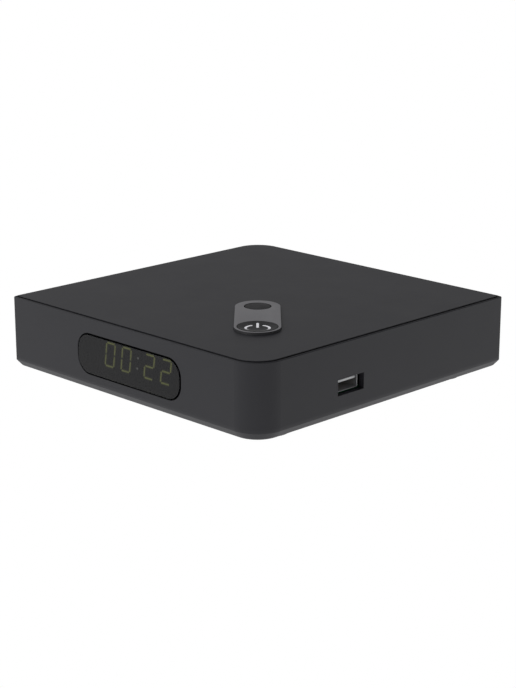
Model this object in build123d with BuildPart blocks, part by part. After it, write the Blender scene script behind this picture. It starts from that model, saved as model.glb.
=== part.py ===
from build123d import *
import os

# A small satellite television receiver: a square moulded tub with a flat inset cover, a clock display behind a
# smoked window in the front wall, a raised control panel with one push button on the cover, a USB socket in the
# right wall and the aerial, network, video and power sockets in the rear wall.
# Millimetres. +Z is up, the front faces -Y, and the rubber feet stand on Z = 0. The origin is the middle of the
# whole box on that floor.

# ---------------------------------------------------------------- housing
width = 150.0
depth = 150.0
wall_height = 32.05
wall = 2.5
floor_thickness = 2.2
round_corner_r = 12.6
tight_corner_r = 1.0
inner_tight_r = 3.0
bottom_edge_r = 5.1
inner_edge = 2.5
foot_drop = 2.0

# ---------------------------------------------------------------- cover
cover_thickness = 2.0
cover_rise = 0.45
cover_edge = 0.12
cover_lip = 0.3
edge_groove_height = 0.9
edge_groove_depth = 0.6
rim = 0.75
rim_edge = 0.3
cover_gap = 0.52
skirt_gap = 0.3
skirt_thickness = 1.5
skirt_height = 3.0
hook_width = 8.0
hook_length = 2.6
hook_catch = 1.1
hook_barb_height = 1.5
hook_clearance = 0.3
hook_front_x = 46.0
hook_side_y = 38.0
hook_rear_x = (-37.0, 34.0)

# ---------------------------------------------------------------- case screws and feet
post_inset_x = 10.0
post_inset_y = 9.5
post_r = 4.2
post_height = 17.8
well_r = 3.1
well_shelf = 2.2
boss_r = 3.4
boss_bore_depth = 9.0
case_shank_r = 1.45
case_shank_length = 10.0
case_head_r = 2.7
case_head_height = 2.0
head_sides = 6
shank_sides = 8
screw_clearance = 0.25
thread_clearance = 0.05
foot_r = 9.0
foot_x = 59.0
foot_y = 53.0
foot_edge = 0.7

# ---------------------------------------------------------------- vents
vent_width = 2.2
vent_length = 26.0
vent_pitch = 5.6
vent_count = 9
vent_row_y = (-12.0, 22.0)
side_vent_height = 13.0
side_vent_count = 9
side_vent_z = 17.0

# ---------------------------------------------------------------- USB socket in the right wall
usb_y = -22.45
usb_z = 13.7
usb_opening_width = 15.3
usb_opening_height = 6.8
usb_shell_width = 13.1
usb_shell_height = 5.7
usb_shell_length = 14.0
usb_shell_wall = 0.35
usb_shell_r = 0.6
usb_setback = 2.0
usb_tongue_width = 10.8
usb_tongue_height = 1.1
usb_tongue_rise = 1.25
usb_tongue_setback = 0.9
usb_block_length = 3.0
usb_contact_count = 4
usb_contact_pitch = 2.5
usb_contact_width = 1.0
usb_contact_height = 0.3
usb_contact_length = 7.5

# ---------------------------------------------------------------- main board
board_thickness = 1.6
board_side_gap = 2.5
board_front_gap = 13.0
board_notch_x = 11.5
board_notch_y = 11.0
standoff_r = 3.5
board_hole_r = 1.5
board_screw_x = 61.0
board_screw_front = 8.5
board_screw_rear = 24.0
board_shank_r = 1.2
board_shank_length = 5.5
board_head_r = 2.4
board_head_height = 1.6
rib_thickness = 1.2
rib_height = 2.0

# ---------------------------------------------------------------- display behind the front wall
window_x = 0.55
window_z = 16.6
window_width = 63.9
window_height = 18.0
window_r = 7.5
window_gap = 0.75
window_rise = 0.25
window_flange = 1.4
window_flange_thickness = 1.2
module_x = 0.9
module_z = 16.0
module_width = 46.0
module_height = 14.0
module_depth = 6.5
module_face = 5.2
module_edge_r = 0.8
display_board_width = 64.0
display_board_bottom = 2.0
display_board_height = 22.3
guide_width = 4.0
guide_wall = 2.0
guide_height = 15.0
guide_overlap = 1.2
board_play = 0.1
receiver_x = -27.0
receiver_width = 5.6
receiver_height = 7.0
receiver_depth = 3.2
receiver_lens_r = 2.2
header_width = 16.0
header_depth = 2.5
header_height = 2.5
header_setback = 1.0
header_pins = 6
header_pitch = 2.54
header_pin = 0.64

# ---------------------------------------------------------------- control panel on the cover, along a diagonal
panel_datum = 75.0
panel_near = 54.25
panel_far = 22.4
panel_border = 1.35
panel_thickness = 2.0
panel_rise = 1.1
panel_edge = 0.15
panel_play = 0.1
button_r = 8.25
button_gap = 0.2
button_edge = 0.3
button_dish = 0.5
button_skin = 1.1
button_wall = 1.2
button_flange = 0.7
button_flange_height = 0.8
button_stop_gap = 0.1
button_stem_r = 1.6
button_stem_length = 2.0
guide_ring_r = 2.6
guide_ring_height = 1.4
lens_r = 5.7
lens_gap = 0.1
lens_setback = 0.1
lens_light_r = 4.2

# ---------------------------------------------------------------- key board under the cover
key_board_start = 12.5
key_board_end = 70.0
key_board_width = 24.0
key_board_thickness = 1.6
key_board_corner = 3.0
key_boss_r = 2.8
key_screws = ((40.0, 8.8), (40.0, -8.8), (66.0, -8.5))
switch_size = 6.0
switch_height = 3.5
switch_edge = 0.4
plunger_r = 1.75
plunger_rise = 1.5
plunger_depth = 1.6
plunger_play = 0.06
led_offset = 5.2
led_size = 2.0
led_height = 0.9
status_led_r = 1.5
status_led_height = 4.6
led_edge = 0.5
key_socket_u = 58.0
key_socket_v = 4.5
key_socket_length = 5.0
key_socket_width = 10.0
key_socket_height = 2.2
cable_width = 7.0
cable_thickness = 0.3
cable_run = 7.0
cable_grip = 2.0

# ---------------------------------------------------------------- rear sockets
press_gap = 0.05
lnb_x = (-47.0, -27.0)
lnb_rise = 7.0
lnb_thread_r = 4.76
lnb_reach = 9.5
lnb_collar_r = 6.0
lnb_shoulder_r = 5.0
lnb_edge = 0.46
lnb_base = 1.0
lnb_hole_gap = 0.4
lnb_bore_r = 3.3
lnb_contact_r = 0.7
lnb_contact_depth = 7.0
lnb_insulator_setback = 0.6
tuner_x = -37.0
tuner_width = 42.0
tuner_length = 33.0
tuner_height = 13.0
tuner_wall = 0.6
tuner_rear_gap = 2.0
tuner_skirt = 4.0
tuner_cover_gap = 0.05
ethernet_x = -1.0
ethernet_width = 16.0
ethernet_height = 13.4
ethernet_length = 21.0
ethernet_mouth_width = 11.9
ethernet_mouth_height = 8.2
ethernet_mouth_rise = 1.6
ethernet_mouth_depth = 15.0
ethernet_latch_width = 6.0
ethernet_latch_height = 2.2
ethernet_contact_count = 8
ethernet_contact_pitch = 1.02
ethernet_contact = 0.4
ethernet_contact_length = 8.0
hdmi_x = 19.5
hdmi_width = 14.8
hdmi_height = 5.4
hdmi_length = 11.5
hdmi_wall = 0.35
hdmi_chamfer = 1.6
hdmi_tongue_width = 11.0
hdmi_tongue_height = 1.3
hdmi_tongue_setback = 1.1
hdmi_block_length = 2.5
av_x = 35.5
av_width = 8.0
av_height = 7.0
av_length = 13.0
av_bore_r = 1.8
av_collar_r = 3.0
dc_x = 50.5
dc_width = 9.0
dc_height = 11.0
dc_length = 14.0
dc_bore_r = 2.9
dc_pin_r = 1.05
dc_pin_setback = 1.0
dc_rise = 6.5
socket_gap = 0.45
socket_setback = 0.3

# ---------------------------------------------------------------- parts on the main board
layout_reach = 75.0
processor_x = -14.0
processor_y = 9.0
processor_size = 21.0
processor_height = 1.3
pad_size = 19.0
pad_thickness = 0.5
heatsink_size = 34.0
heatsink_base = 2.2
heatsink_height = 9.0
fin_count = 8
fin_thickness = 1.3
memory_spots = ((-42.0, 4.0), (-42.0, -10.0))
memory_length = 13.0
memory_width = 9.0
memory_height = 1.1
chip_edge = 0.25
flash_x = -14.0
flash_y = -24.0
flash_length = 18.0
flash_width = 12.0
demodulator_x = -30.0
demodulator_y = 31.0
demodulator_size = 8.0
inductor_spots = ((22.0, 22.0), (34.0, 22.0), (46.0, 4.0))
inductor_size = 7.0
inductor_height = 4.0
inductor_corner = 1.4
capacitor_spots = ((24.0, 36.0), (36.0, 36.0), (52.0, 20.0))
capacitor_r = 3.15
capacitor_height = 9.0
crystal_x = 6.0
crystal_y = -20.0
crystal_length = 11.0
crystal_width = 4.6
crystal_height = 3.4

# ---------------------------------------------------------------- heights and planes that follow from these
underside_z = foot_drop
floor_z = underside_z + floor_thickness
rim_z = underside_z + wall_height
cover_top_z = rim_z + cover_rise
ledge_z = cover_top_z - cover_thickness
post_top_z = floor_z + post_height
panel_top_z = cover_top_z + panel_rise
panel_seat_z = panel_top_z - panel_thickness
flange_top_z = panel_seat_z - button_stop_gap
plunger_top_z = flange_top_z - button_flange_height - button_stem_length
key_board_z = plunger_top_z - plunger_rise - switch_height
usb_centre_z = underside_z + usb_z
board_top_z = usb_centre_z - usb_shell_height / 2
board_z = board_top_z - board_thickness
centre_y = (window_rise - lnb_reach) / 2
front_y = centre_y - depth / 2
rear_y = centre_y + depth / 2
right_x = width / 2
side_inner_x = right_x - wall
rear_inner_y = rear_y - wall
module_face_y = front_y + module_face
display_board_y = module_face_y + module_depth
board_front_y = front_y + wall + board_front_gap
board_rear_y = rear_inner_y - board_side_gap
post_x = right_x - post_inset_x
post_y = depth / 2 - post_inset_y
panel_width = 2 * (button_r + panel_border)
layout_y = rear_y - layout_reach

UP = (Align.CENTER, Align.CENTER, Align.MIN)
post_spots = [(x, centre_y + y) for x in (-post_x, post_x) for y in (-post_y, post_y)]
foot_spots = [(x, centre_y + y) for x in (-foot_x, foot_x) for y in (-foot_y, foot_y)]
board_spots = [
    (x, y)
    for x in (-board_screw_x, board_screw_x)
    for y in (board_front_y + board_screw_front, rear_y - board_screw_rear)
]


def diagonal(z):
    """The level at z with its X running from a datum inside the cover to the round corner at the front right."""
    datum = (right_x - panel_datum, front_y + panel_datum, z)
    return Plane(origin=datum, x_dir=(1, -1, 0), z_dir=(0, 0, 1))


def plan(z, inset, tight_r):
    """The housing's square plan, drawn inset inside its walls: two opposite corners are round and two tight."""
    with BuildSketch(Plane.XY.offset(z)) as outline:
        with Locations((0, centre_y)):
            Rectangle(width - 2 * inset, depth - 2 * inset)
        corners = outline.vertices().sort_by(Axis((0, 0, 0), (1, -1, 0)))
        fillet([corners[0], corners[-1]], round_corner_r - inset)
        if tight_r > 0:
            tight = outline.vertices().sort_by(Axis((0, 0, 0), (1, 1, 0)))
            fillet([tight[0], tight[-1]], tight_r)
    return outline.sketch


def facing_front(y):
    """The upright plane at y whose X and Y are the housing's X and Z; a positive extrusion goes to the front."""
    return Plane.XZ.offset(-y)


# ================================================================ bottom housing
rear_slots = [
    (ethernet_x, board_top_z + ethernet_height / 2, ethernet_width, ethernet_height),
    (hdmi_x, board_top_z + hdmi_height / 2, hdmi_width, hdmi_height),
    (dc_x, board_top_z + dc_height / 2, dc_width, dc_height),
]
window_centre_z = underside_z + window_z
display_board_z = floor_z + display_board_bottom
guide_spots = [
    window_x + side * (display_board_width / 2 + guide_width / 2 - guide_overlap)
    for side in (-1, 1)
]
hook_z = ledge_z - skirt_height - hook_length


def hook_places(z):
    """Where the cover's hooks meet the inner faces of the walls at height z, with Y pointing outward."""
    front = [Location((x, front_y + wall, z), (0, 0, 180)) for x in (-hook_front_x, hook_front_x)]
    rear = [Location((x, rear_inner_y, z), (0, 0, 0)) for x in hook_rear_x]
    right = [Location((side_inner_x, centre_y + y, z), (0, 0, -90)) for y in (-hook_side_y, hook_side_y)]
    left = [Location((-side_inner_x, centre_y + y, z), (0, 0, 90)) for y in (-hook_side_y, hook_side_y)]
    return front + rear + right + left


with BuildPart() as bottom_housing:
    # The outer skin: round bottom edges all the way, then the two tight corners taken off their uprights.
    extrude(plan(underside_z, 0, 0), amount=wall_height)
    fillet(bottom_housing.faces().sort_by(Axis.Z)[0].edges(), bottom_edge_r)
    extrude(plan(underside_z, 0, tight_corner_r), amount=wall_height, mode=Mode.INTERSECT)
    # The hollow, with its floor sloped into the walls, and the rebate that takes the cover.
    extrude(plan(floor_z, wall, inner_tight_r), amount=wall_height, mode=Mode.SUBTRACT)
    inner_floor = bottom_housing.faces(Select.LAST).sort_by(Axis.Z)[0]
    chamfer(inner_floor.edges(), inner_edge)
    extrude(plan(ledge_z, rim, 0), amount=wall_height, mode=Mode.SUBTRACT)
    chamfer(bottom_housing.faces().sort_by(Axis.Z)[-1].outer_wire().edges(), rim_edge)
    # Stiffening ribs across the floor, then the posts and standoffs that stand on it.
    with BuildSketch(Plane.XY.offset(floor_z)):
        for y in (board_front_y + board_screw_front, rear_y - board_screw_rear):
            with Locations((0, y)):
                Rectangle(width - 2 * wall, rib_thickness)
        for x in (-board_screw_x, board_screw_x):
            with Locations((x, centre_y)):
                Rectangle(rib_thickness, depth - 2 * wall)
    extrude(amount=rib_height)
    with BuildSketch(Plane.XY.offset(floor_z)):
        with Locations(*post_spots):
            Circle(post_r)
    extrude(amount=post_height)
    with BuildSketch(Plane.XY.offset(floor_z)):
        with Locations(*board_spots):
            Circle(standoff_r)
    extrude(amount=board_z - floor_z)
    # Slotted guides that hold the upright display board by its two ends.
    with BuildSketch(Plane.XY.offset(floor_z)):
        for x in guide_spots:
            with Locations((x, display_board_y + board_thickness / 2)):
                Rectangle(guide_width, board_thickness + 2 * guide_wall + 2 * board_play)
    extrude(amount=display_board_bottom + guide_height)
    with BuildSketch(Plane.XY.offset(display_board_z)):
        with Locations((window_x, display_board_y + board_thickness / 2)):
            Rectangle(display_board_width + 2 * board_play, board_thickness + 2 * board_play)
    extrude(amount=guide_height, mode=Mode.SUBTRACT)
    # Pockets that catch the cover's hooks.
    with Locations(*hook_places(hook_z - hook_clearance)):
        Box(
            hook_width + 2 * hook_clearance,
            hook_catch,
            hook_barb_height + 2 * hook_clearance,
            align=(Align.CENTER, Align.MIN, Align.MIN),
            mode=Mode.SUBTRACT,
        )
    # Screw wells from below, standoff pilots from above.
    with Locations(*[Plane((x, y, underside_z), z_dir=(0, 0, -1)) for x, y in post_spots]):
        CounterBoreHole(
            radius=case_shank_r + screw_clearance,
            counter_bore_radius=well_r,
            counter_bore_depth=post_top_z - underside_z - well_shelf,
            depth=post_top_z - underside_z,
        )
    with Locations(*[(x, y, board_z) for x, y in board_spots]):
        Hole(board_shank_r + thread_clearance, depth=board_z - floor_z)
    # Vents in the floor and in the left wall.
    with BuildSketch(Plane.XY.offset(underside_z)):
        for y in vent_row_y:
            with Locations((0, centre_y + y)):
                with GridLocations(vent_pitch, 1, vent_count, 1):
                    Rectangle(vent_width, vent_length)
    extrude(amount=floor_thickness, mode=Mode.SUBTRACT)
    with BuildSketch(Plane.YZ.offset(-right_x)):
        with Locations((centre_y, side_vent_z)):
            with GridLocations(vent_pitch, 1, side_vent_count, 1):
                Rectangle(vent_width, side_vent_height)
    extrude(amount=wall, mode=Mode.SUBTRACT)
    # The window opening in the front wall.
    with BuildSketch(facing_front(front_y)):
        with Locations((window_x, window_centre_z)):
            RectangleRounded(window_width, window_height, window_r)
    extrude(amount=-wall, mode=Mode.SUBTRACT)
    # The USB opening in the right wall.
    with BuildSketch(Plane.YZ.offset(right_x)):
        with Locations((centre_y + usb_y, usb_centre_z)):
            Rectangle(usb_opening_width, usb_opening_height)
    extrude(amount=-wall, mode=Mode.SUBTRACT)
    # The rear wall: one opening for each socket.
    with BuildSketch(facing_front(rear_y)):
        for x, z, wide, high in rear_slots:
            with Locations((x, z)):
                Rectangle(wide + 2 * socket_gap, high + 2 * socket_gap)
        with Locations(*[(x, board_top_z + lnb_rise) for x in lnb_x]):
            Circle(lnb_shoulder_r + lnb_hole_gap)
        with Locations((av_x, board_top_z + av_height / 2)):
            Circle(av_collar_r + socket_gap)
    extrude(amount=wall, mode=Mode.SUBTRACT)
bottom_housing.part.label = "bottom_housing"

# ================================================================ top cover
with BuildPart() as top_cover:
    extrude(plan(ledge_z, rim + cover_gap, 0), amount=cover_thickness)
    chamfer(top_cover.faces().sort_by(Axis.Z)[-1].edges(), cover_edge)
    # A shadow groove in its edge, below a thin lip.
    lip_z = cover_top_z - cover_lip
    edge_inset = rim + cover_gap
    edge_ring = plan(lip_z, edge_inset, 0) - plan(lip_z, edge_inset + edge_groove_depth, 0)
    extrude(edge_ring, amount=-edge_groove_height, mode=Mode.SUBTRACT)
    # A skirt that locates the cover inside the walls, with hooks that snap into their pockets.
    skirt_inset = wall + skirt_gap
    skirt_z = ledge_z - skirt_height
    extrude(plan(skirt_z, skirt_inset, inner_tight_r), amount=skirt_height)
    hollow = plan(skirt_z, skirt_inset + skirt_thickness, inner_tight_r)
    extrude(hollow, amount=skirt_height, mode=Mode.SUBTRACT)
    with Locations(*hook_places(hook_z)):
        with Locations((0, -skirt_gap, 0)):
            Box(
                hook_width,
                skirt_thickness,
                hook_length,
                align=(Align.CENTER, Align.MAX, Align.MIN),
            )
            Box(
                hook_width,
                hook_catch,
                hook_barb_height,
                align=(Align.CENTER, Align.MIN, Align.MIN),
            )
    # Bosses over the four case screws and the three key board screws.
    with Locations(*[(x, y, post_top_z) for x, y in post_spots]):
        Cylinder(boss_r, ledge_z - post_top_z, align=UP)
        Cylinder(case_shank_r + thread_clearance, boss_bore_depth, align=UP, mode=Mode.SUBTRACT)
    with BuildSketch(diagonal(key_board_z)):
        with Locations(*key_screws):
            Circle(key_boss_r)
    extrude(amount=ledge_z - key_board_z)
    with BuildSketch(diagonal(key_board_z)):
        with Locations(*key_screws):
            Circle(board_shank_r + thread_clearance)
    extrude(amount=board_shank_length, mode=Mode.SUBTRACT)
    # The seat of the raised panel, and the holes for the button and the light of the status lens.
    with BuildSketch(diagonal(panel_seat_z)):
        with Locations(((panel_near + panel_far) / 2, 0)):
            SlotCenterToCenter(panel_near - panel_far, panel_width + 2 * panel_play)
    extrude(amount=cover_top_z - panel_seat_z, mode=Mode.SUBTRACT)
    with BuildSketch(diagonal(ledge_z)):
        with Locations((panel_near, 0)):
            Circle(button_r + button_flange + button_gap)
        with Locations((panel_far, 0)):
            Circle(lens_light_r)
    extrude(amount=panel_seat_z - ledge_z, mode=Mode.SUBTRACT)
top_cover.part.label = "top_cover"

# ================================================================ raised control panel, lens and button
with BuildPart() as control_bezel:
    with BuildSketch(diagonal(panel_seat_z)):
        with Locations(((panel_near + panel_far) / 2, 0)):
            SlotCenterToCenter(panel_near - panel_far, panel_width)
        with Locations((panel_near, 0)):
            Circle(button_r + button_gap, mode=Mode.SUBTRACT)
        with Locations((panel_far, 0)):
            Circle(lens_r + lens_gap, mode=Mode.SUBTRACT)
    extrude(amount=panel_thickness)
    top_rims = control_bezel.faces().sort_by(Axis.Z)[-1].edges()
    chamfer(top_rims, panel_edge)
control_bezel.part.label = "control_bezel"

with BuildPart() as status_lens:
    with BuildSketch(diagonal(panel_seat_z)):
        with Locations((panel_far, 0)):
            Circle(lens_r)
    extrude(amount=panel_thickness - lens_setback)
    chamfer(status_lens.faces().sort_by(Axis.Z)[-1].edges(), cover_edge)
status_lens.part.label = "status_lens"

button_spot = diagonal(0).from_local_coords((panel_near, 0, 0))
button_bottom_z = flange_top_z - button_flange_height
inside_r = button_r - button_wall
skin_z = panel_top_z - button_dish - button_skin
dish_r = button_r - button_edge
dish_ball_r = (dish_r**2 + button_dish**2) / (2 * button_dish)
dish_ball_z = panel_top_z - button_dish + dish_ball_r

with BuildPart() as power_button:
    # A dished cap with a stop flange below the panel and a stem that reaches the switch.
    with BuildSketch(diagonal(button_bottom_z)):
        with Locations((panel_near, 0)):
            Circle(button_r + button_flange)
    extrude(amount=button_flange_height)
    with BuildSketch(diagonal(flange_top_z)):
        with Locations((panel_near, 0)):
            Circle(button_r)
    extrude(amount=panel_top_z - flange_top_z)
    chamfer(power_button.faces().sort_by(Axis.Z)[-1].edges(), button_edge)
    with Locations((button_spot.X, button_spot.Y, dish_ball_z)):
        Sphere(dish_ball_r, mode=Mode.SUBTRACT)
    with BuildSketch(diagonal(skin_z)):
        with Locations((panel_near, 0)):
            Circle(inside_r)
    extrude(amount=button_bottom_z - skin_z, mode=Mode.SUBTRACT)
    with BuildSketch(diagonal(skin_z)):
        with Locations((panel_near, 0)):
            Circle(button_stem_r)
    extrude(amount=plunger_top_z - skin_z)
power_button.part.label = "power_button"

with BuildPart() as button_light_guide:
    # A clear ring that spreads light under the cap's skin.
    with BuildSketch(diagonal(skin_z)):
        with Locations((panel_near, 0)):
            Circle(inside_r - panel_play)
            Circle(guide_ring_r, mode=Mode.SUBTRACT)
    extrude(amount=-guide_ring_height)
button_light_guide.part.label = "button_light_guide"

# ================================================================ key board and what it carries
with BuildPart() as key_board:
    with BuildSketch(diagonal(key_board_z)) as outline:
        with Locations(((key_board_start + key_board_end) / 2, 0)):
            Rectangle(key_board_end - key_board_start, key_board_width)
        chamfer(outline.vertices(), key_board_corner)
        with Locations(*key_screws):
            Circle(board_hole_r, mode=Mode.SUBTRACT)
    extrude(amount=-key_board_thickness)
key_board.part.label = "key_board"

with BuildPart() as key_board_screws:
    with BuildSketch(diagonal(key_board_z - key_board_thickness)):
        with Locations(*key_screws):
            RegularPolygon(board_head_r, head_sides)
    extrude(amount=-board_head_height)
    with BuildSketch(diagonal(key_board_z - key_board_thickness)):
        with Locations(*key_screws):
            RegularPolygon(board_shank_r, shank_sides)
    extrude(amount=board_shank_length)
key_board_screws.part.label = "key_board_screws"

with BuildPart() as tact_switch:
    with BuildSketch(diagonal(key_board_z)):
        with Locations((panel_near, 0)):
            Rectangle(switch_size, switch_size)
    extrude(amount=switch_height)
    chamfer(tact_switch.edges().filter_by(Axis.Z), switch_edge)
    with BuildSketch(diagonal(key_board_z + switch_height)):
        with Locations((panel_near, 0)):
            Circle(plunger_r + plunger_play)
    extrude(amount=-plunger_depth - plunger_rise / 2, mode=Mode.SUBTRACT)
tact_switch.part.label = "tact_switch"

with BuildPart() as switch_plunger:
    with BuildSketch(diagonal(plunger_top_z)):
        with Locations((panel_near, 0)):
            Circle(plunger_r)
    extrude(amount=-plunger_rise - plunger_depth)
switch_plunger.part.label = "switch_plunger"

with BuildPart() as power_leds:
    with BuildSketch(diagonal(key_board_z)):
        with Locations((panel_near - led_offset, 0), (panel_near + led_offset, 0)):
            Rectangle(led_size, led_size)
    extrude(amount=led_height)
power_leds.part.label = "power_leds"

with BuildPart() as status_led:
    with BuildSketch(diagonal(key_board_z)):
        with Locations((panel_far, 0)):
            Circle(status_led_r)
    extrude(amount=status_led_height)
    chamfer(status_led.faces().sort_by(Axis.Z)[-1].edges(), led_edge)
status_led.part.label = "status_led"


def lead_socket(z, up):
    """A flat-lead socket on the board face at z, standing up from it or hanging below it, open to the front."""
    reach = key_socket_height if up else -key_socket_height
    slot_z = z + reach / 2
    with BuildPart() as socket:
        with BuildSketch(diagonal(z)):
            with Locations((key_socket_u, key_socket_v)):
                Rectangle(key_socket_length, key_socket_width)
        extrude(amount=reach)
        with BuildSketch(diagonal(slot_z - cable_thickness / 2)):
            with Locations((key_socket_u + key_socket_length / 2 - cable_grip / 2, key_socket_v)):
                Rectangle(cable_grip, cable_width)
        extrude(amount=cable_thickness, mode=Mode.SUBTRACT)
    return socket


key_board_socket = lead_socket(key_board_z - key_board_thickness, False)
key_board_socket.part.label = "key_board_socket"
main_board_socket = lead_socket(board_top_z, True)
main_board_socket.part.label = "main_board_socket"

with BuildPart() as key_cable:
    # A flat lead folded once between the two sockets.
    upper_z = key_board_z - key_board_thickness - key_socket_height / 2
    lower_z = board_top_z + key_socket_height / 2
    start_u = key_socket_u + key_socket_length / 2 - cable_grip
    side = Plane(origin=diagonal(0).from_local_coords((0, key_socket_v, 0)), x_dir=(1, -1, 0), z_dir=(-1, -1, 0))
    with BuildSketch(side):
        with BuildLine() as lead:
            over = Line((start_u, upper_z), (start_u + cable_grip + cable_run, upper_z))
            bend = TangentArc(over @ 1, (start_u + cable_grip + cable_run, lower_z), tangent=over % 1)
            Line(bend @ 1, (start_u, lower_z))
        trace(line_width=cable_thickness)
    extrude(amount=cable_width / 2, both=True)
key_cable.part.label = "key_cable"

# ================================================================ display: window, module and upright board
lens_front_y = front_y - window_rise
lens_back_y = front_y + wall

with BuildPart() as display_window:
    with BuildSketch(facing_front(lens_back_y)):
        with Locations((window_x, window_centre_z)):
            RectangleRounded(
                window_width - 2 * window_gap,
                window_height - 2 * window_gap,
                window_r - window_gap,
            )
    extrude(amount=lens_back_y - lens_front_y)
    with BuildSketch(facing_front(lens_back_y)):
        with Locations((window_x, window_centre_z)):
            RectangleRounded(
                window_width + 2 * window_flange,
                window_height + 2 * window_flange,
                window_r + window_flange,
            )
    extrude(amount=-window_flange_thickness)
display_window.part.label = "display_window"

with BuildPart() as display_module:
    with BuildSketch(facing_front(display_board_y)):
        with Locations((module_x, underside_z + module_z)):
            Rectangle(module_width, module_height)
    extrude(amount=module_depth)
    chamfer(display_module.edges().filter_by(Axis.Y), module_edge_r)
display_module.part.label = "display_module"

with BuildPart() as display_board:
    with BuildSketch(facing_front(display_board_y)):
        with Locations((window_x, display_board_z)):
            Rectangle(
                display_board_width,
                display_board_height,
                align=(Align.CENTER, Align.MIN),
            )
    extrude(amount=-board_thickness)
display_board.part.label = "display_board"

with BuildPart() as ir_receiver:
    with BuildSketch(facing_front(display_board_y)):
        with Locations((receiver_x, window_centre_z)):
            Rectangle(receiver_width, receiver_height)
    extrude(amount=receiver_depth)
    # The half-round lens on its face.
    with BuildSketch(Plane.XY.offset(window_centre_z)):
        with Locations((receiver_x, display_board_y - receiver_depth)):
            Circle(receiver_lens_r)
    extrude(amount=receiver_lens_r, both=True)
    with BuildSketch(Plane.XY.offset(window_centre_z)):
        with Locations((receiver_x, display_board_y)):
            Rectangle(
                receiver_width,
                2 * receiver_depth,
                align=(Align.CENTER, Align.MIN),
            )
    extrude(amount=receiver_height, both=True, mode=Mode.SUBTRACT)
ir_receiver.part.label = "ir_receiver"

with BuildPart() as display_header:
    # A right-angle header: its block stands on the main board and its pins run forward to the display board.
    header_y = board_front_y + header_setback
    with BuildSketch(facing_front(header_y)):
        with Locations((window_x, board_top_z)):
            Rectangle(header_width, header_height, align=(Align.CENTER, Align.MIN))
    extrude(amount=-header_depth)
    with BuildSketch(facing_front(header_y)):
        with Locations((window_x, board_top_z + header_height / 2)):
            with GridLocations(header_pitch, 1, header_pins, 1):
                Rectangle(header_pin, header_pin)
    extrude(amount=header_y - display_board_y - board_thickness)
display_header.part.label = "display_header"

# ================================================================ main board
board_left = -side_inner_x + board_side_gap
board_right = side_inner_x - board_side_gap
board_middle_y = (board_front_y + board_rear_y) / 2

with BuildPart() as main_board:
    with BuildSketch(Plane.XY.offset(board_z)):
        with Locations(((board_left + board_right) / 2, board_middle_y)):
            Rectangle(board_right - board_left, board_rear_y - board_front_y)
        # The two rear corners are notched round the screw posts.
        for x in (board_left, board_right):
            with Locations((x, board_rear_y)):
                Rectangle(2 * board_notch_x, 2 * board_notch_y, mode=Mode.SUBTRACT)
        with Locations(*board_spots):
            Circle(board_hole_r, mode=Mode.SUBTRACT)
    extrude(amount=board_thickness)
main_board.part.label = "main_board"

with BuildPart() as board_screws:
    with BuildSketch(Plane.XY.offset(board_top_z)):
        with Locations(*board_spots):
            RegularPolygon(board_head_r, head_sides)
    extrude(amount=board_head_height)
    with BuildSketch(Plane.XY.offset(board_top_z)):
        with Locations(*board_spots):
            RegularPolygon(board_shank_r, shank_sides)
    extrude(amount=-board_shank_length)
board_screws.part.label = "board_screws"

# ================================================================ processor, its heatsink and other parts
pad_z = board_top_z + processor_height
heatsink_z = pad_z + pad_thickness


def chip(x, y, long, wide, high):
    """A moulded chip that stands on the main board with its top edges broken."""
    with BuildPart() as body:
        with BuildSketch(Plane.XY.offset(board_top_z)):
            with Locations((x, layout_y + y)):
                Rectangle(long, wide)
        extrude(amount=high)
        chamfer(body.faces().sort_by(Axis.Z)[-1].edges(), chip_edge)
    return body


processor = chip(processor_x, processor_y, processor_size, processor_size, processor_height)
processor.part.label = "processor"
flash_chip = chip(flash_x, flash_y, flash_length, flash_width, memory_height)
flash_chip.part.label = "flash_chip"
demodulator_chip = chip(demodulator_x, demodulator_y, demodulator_size, demodulator_size, memory_height)
demodulator_chip.part.label = "demodulator_chip"

with BuildPart() as memory_chips:
    with BuildSketch(Plane.XY.offset(board_top_z)):
        with Locations(*[(x, layout_y + y) for x, y in memory_spots]):
            Rectangle(memory_width, memory_length)
    extrude(amount=memory_height)
memory_chips.part.label = "memory_chips"

with BuildPart() as thermal_pad:
    with BuildSketch(Plane.XY.offset(pad_z)):
        with Locations((processor_x, layout_y + processor_y)):
            Rectangle(pad_size, pad_size)
    extrude(amount=pad_thickness)
thermal_pad.part.label = "thermal_pad"

with BuildPart() as heatsink:
    with BuildSketch(Plane.XY.offset(heatsink_z)):
        with Locations((processor_x, layout_y + processor_y)):
            Rectangle(heatsink_size, heatsink_size)
    extrude(amount=heatsink_base)
    fin_pitch = (heatsink_size - fin_thickness) / (fin_count - 1)
    with BuildSketch(Plane.XY.offset(heatsink_z + heatsink_base)):
        with Locations((processor_x, layout_y + processor_y)):
            with GridLocations(fin_pitch, 1, fin_count, 1):
                Rectangle(fin_thickness, heatsink_size)
    extrude(amount=heatsink_height - heatsink_base)
heatsink.part.label = "heatsink"

with BuildPart() as inductors:
    with BuildSketch(Plane.XY.offset(board_top_z)):
        with Locations(*[(x, layout_y + y) for x, y in inductor_spots]):
            Rectangle(inductor_size, inductor_size)
    extrude(amount=inductor_height)
    chamfer(inductors.edges().filter_by(Axis.Z), inductor_corner)
inductors.part.label = "inductors"

with BuildPart() as capacitors:
    with BuildSketch(Plane.XY.offset(board_top_z)):
        with Locations(*[(x, layout_y + y) for x, y in capacitor_spots]):
            Circle(capacitor_r)
    extrude(amount=capacitor_height)
capacitors.part.label = "capacitors"

with BuildPart() as crystal:
    with BuildSketch(Plane.XY.offset(board_top_z)):
        with Locations((crystal_x, layout_y + crystal_y)):
            SlotOverall(crystal_length, crystal_width)
    extrude(amount=crystal_height)
crystal.part.label = "crystal"

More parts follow.
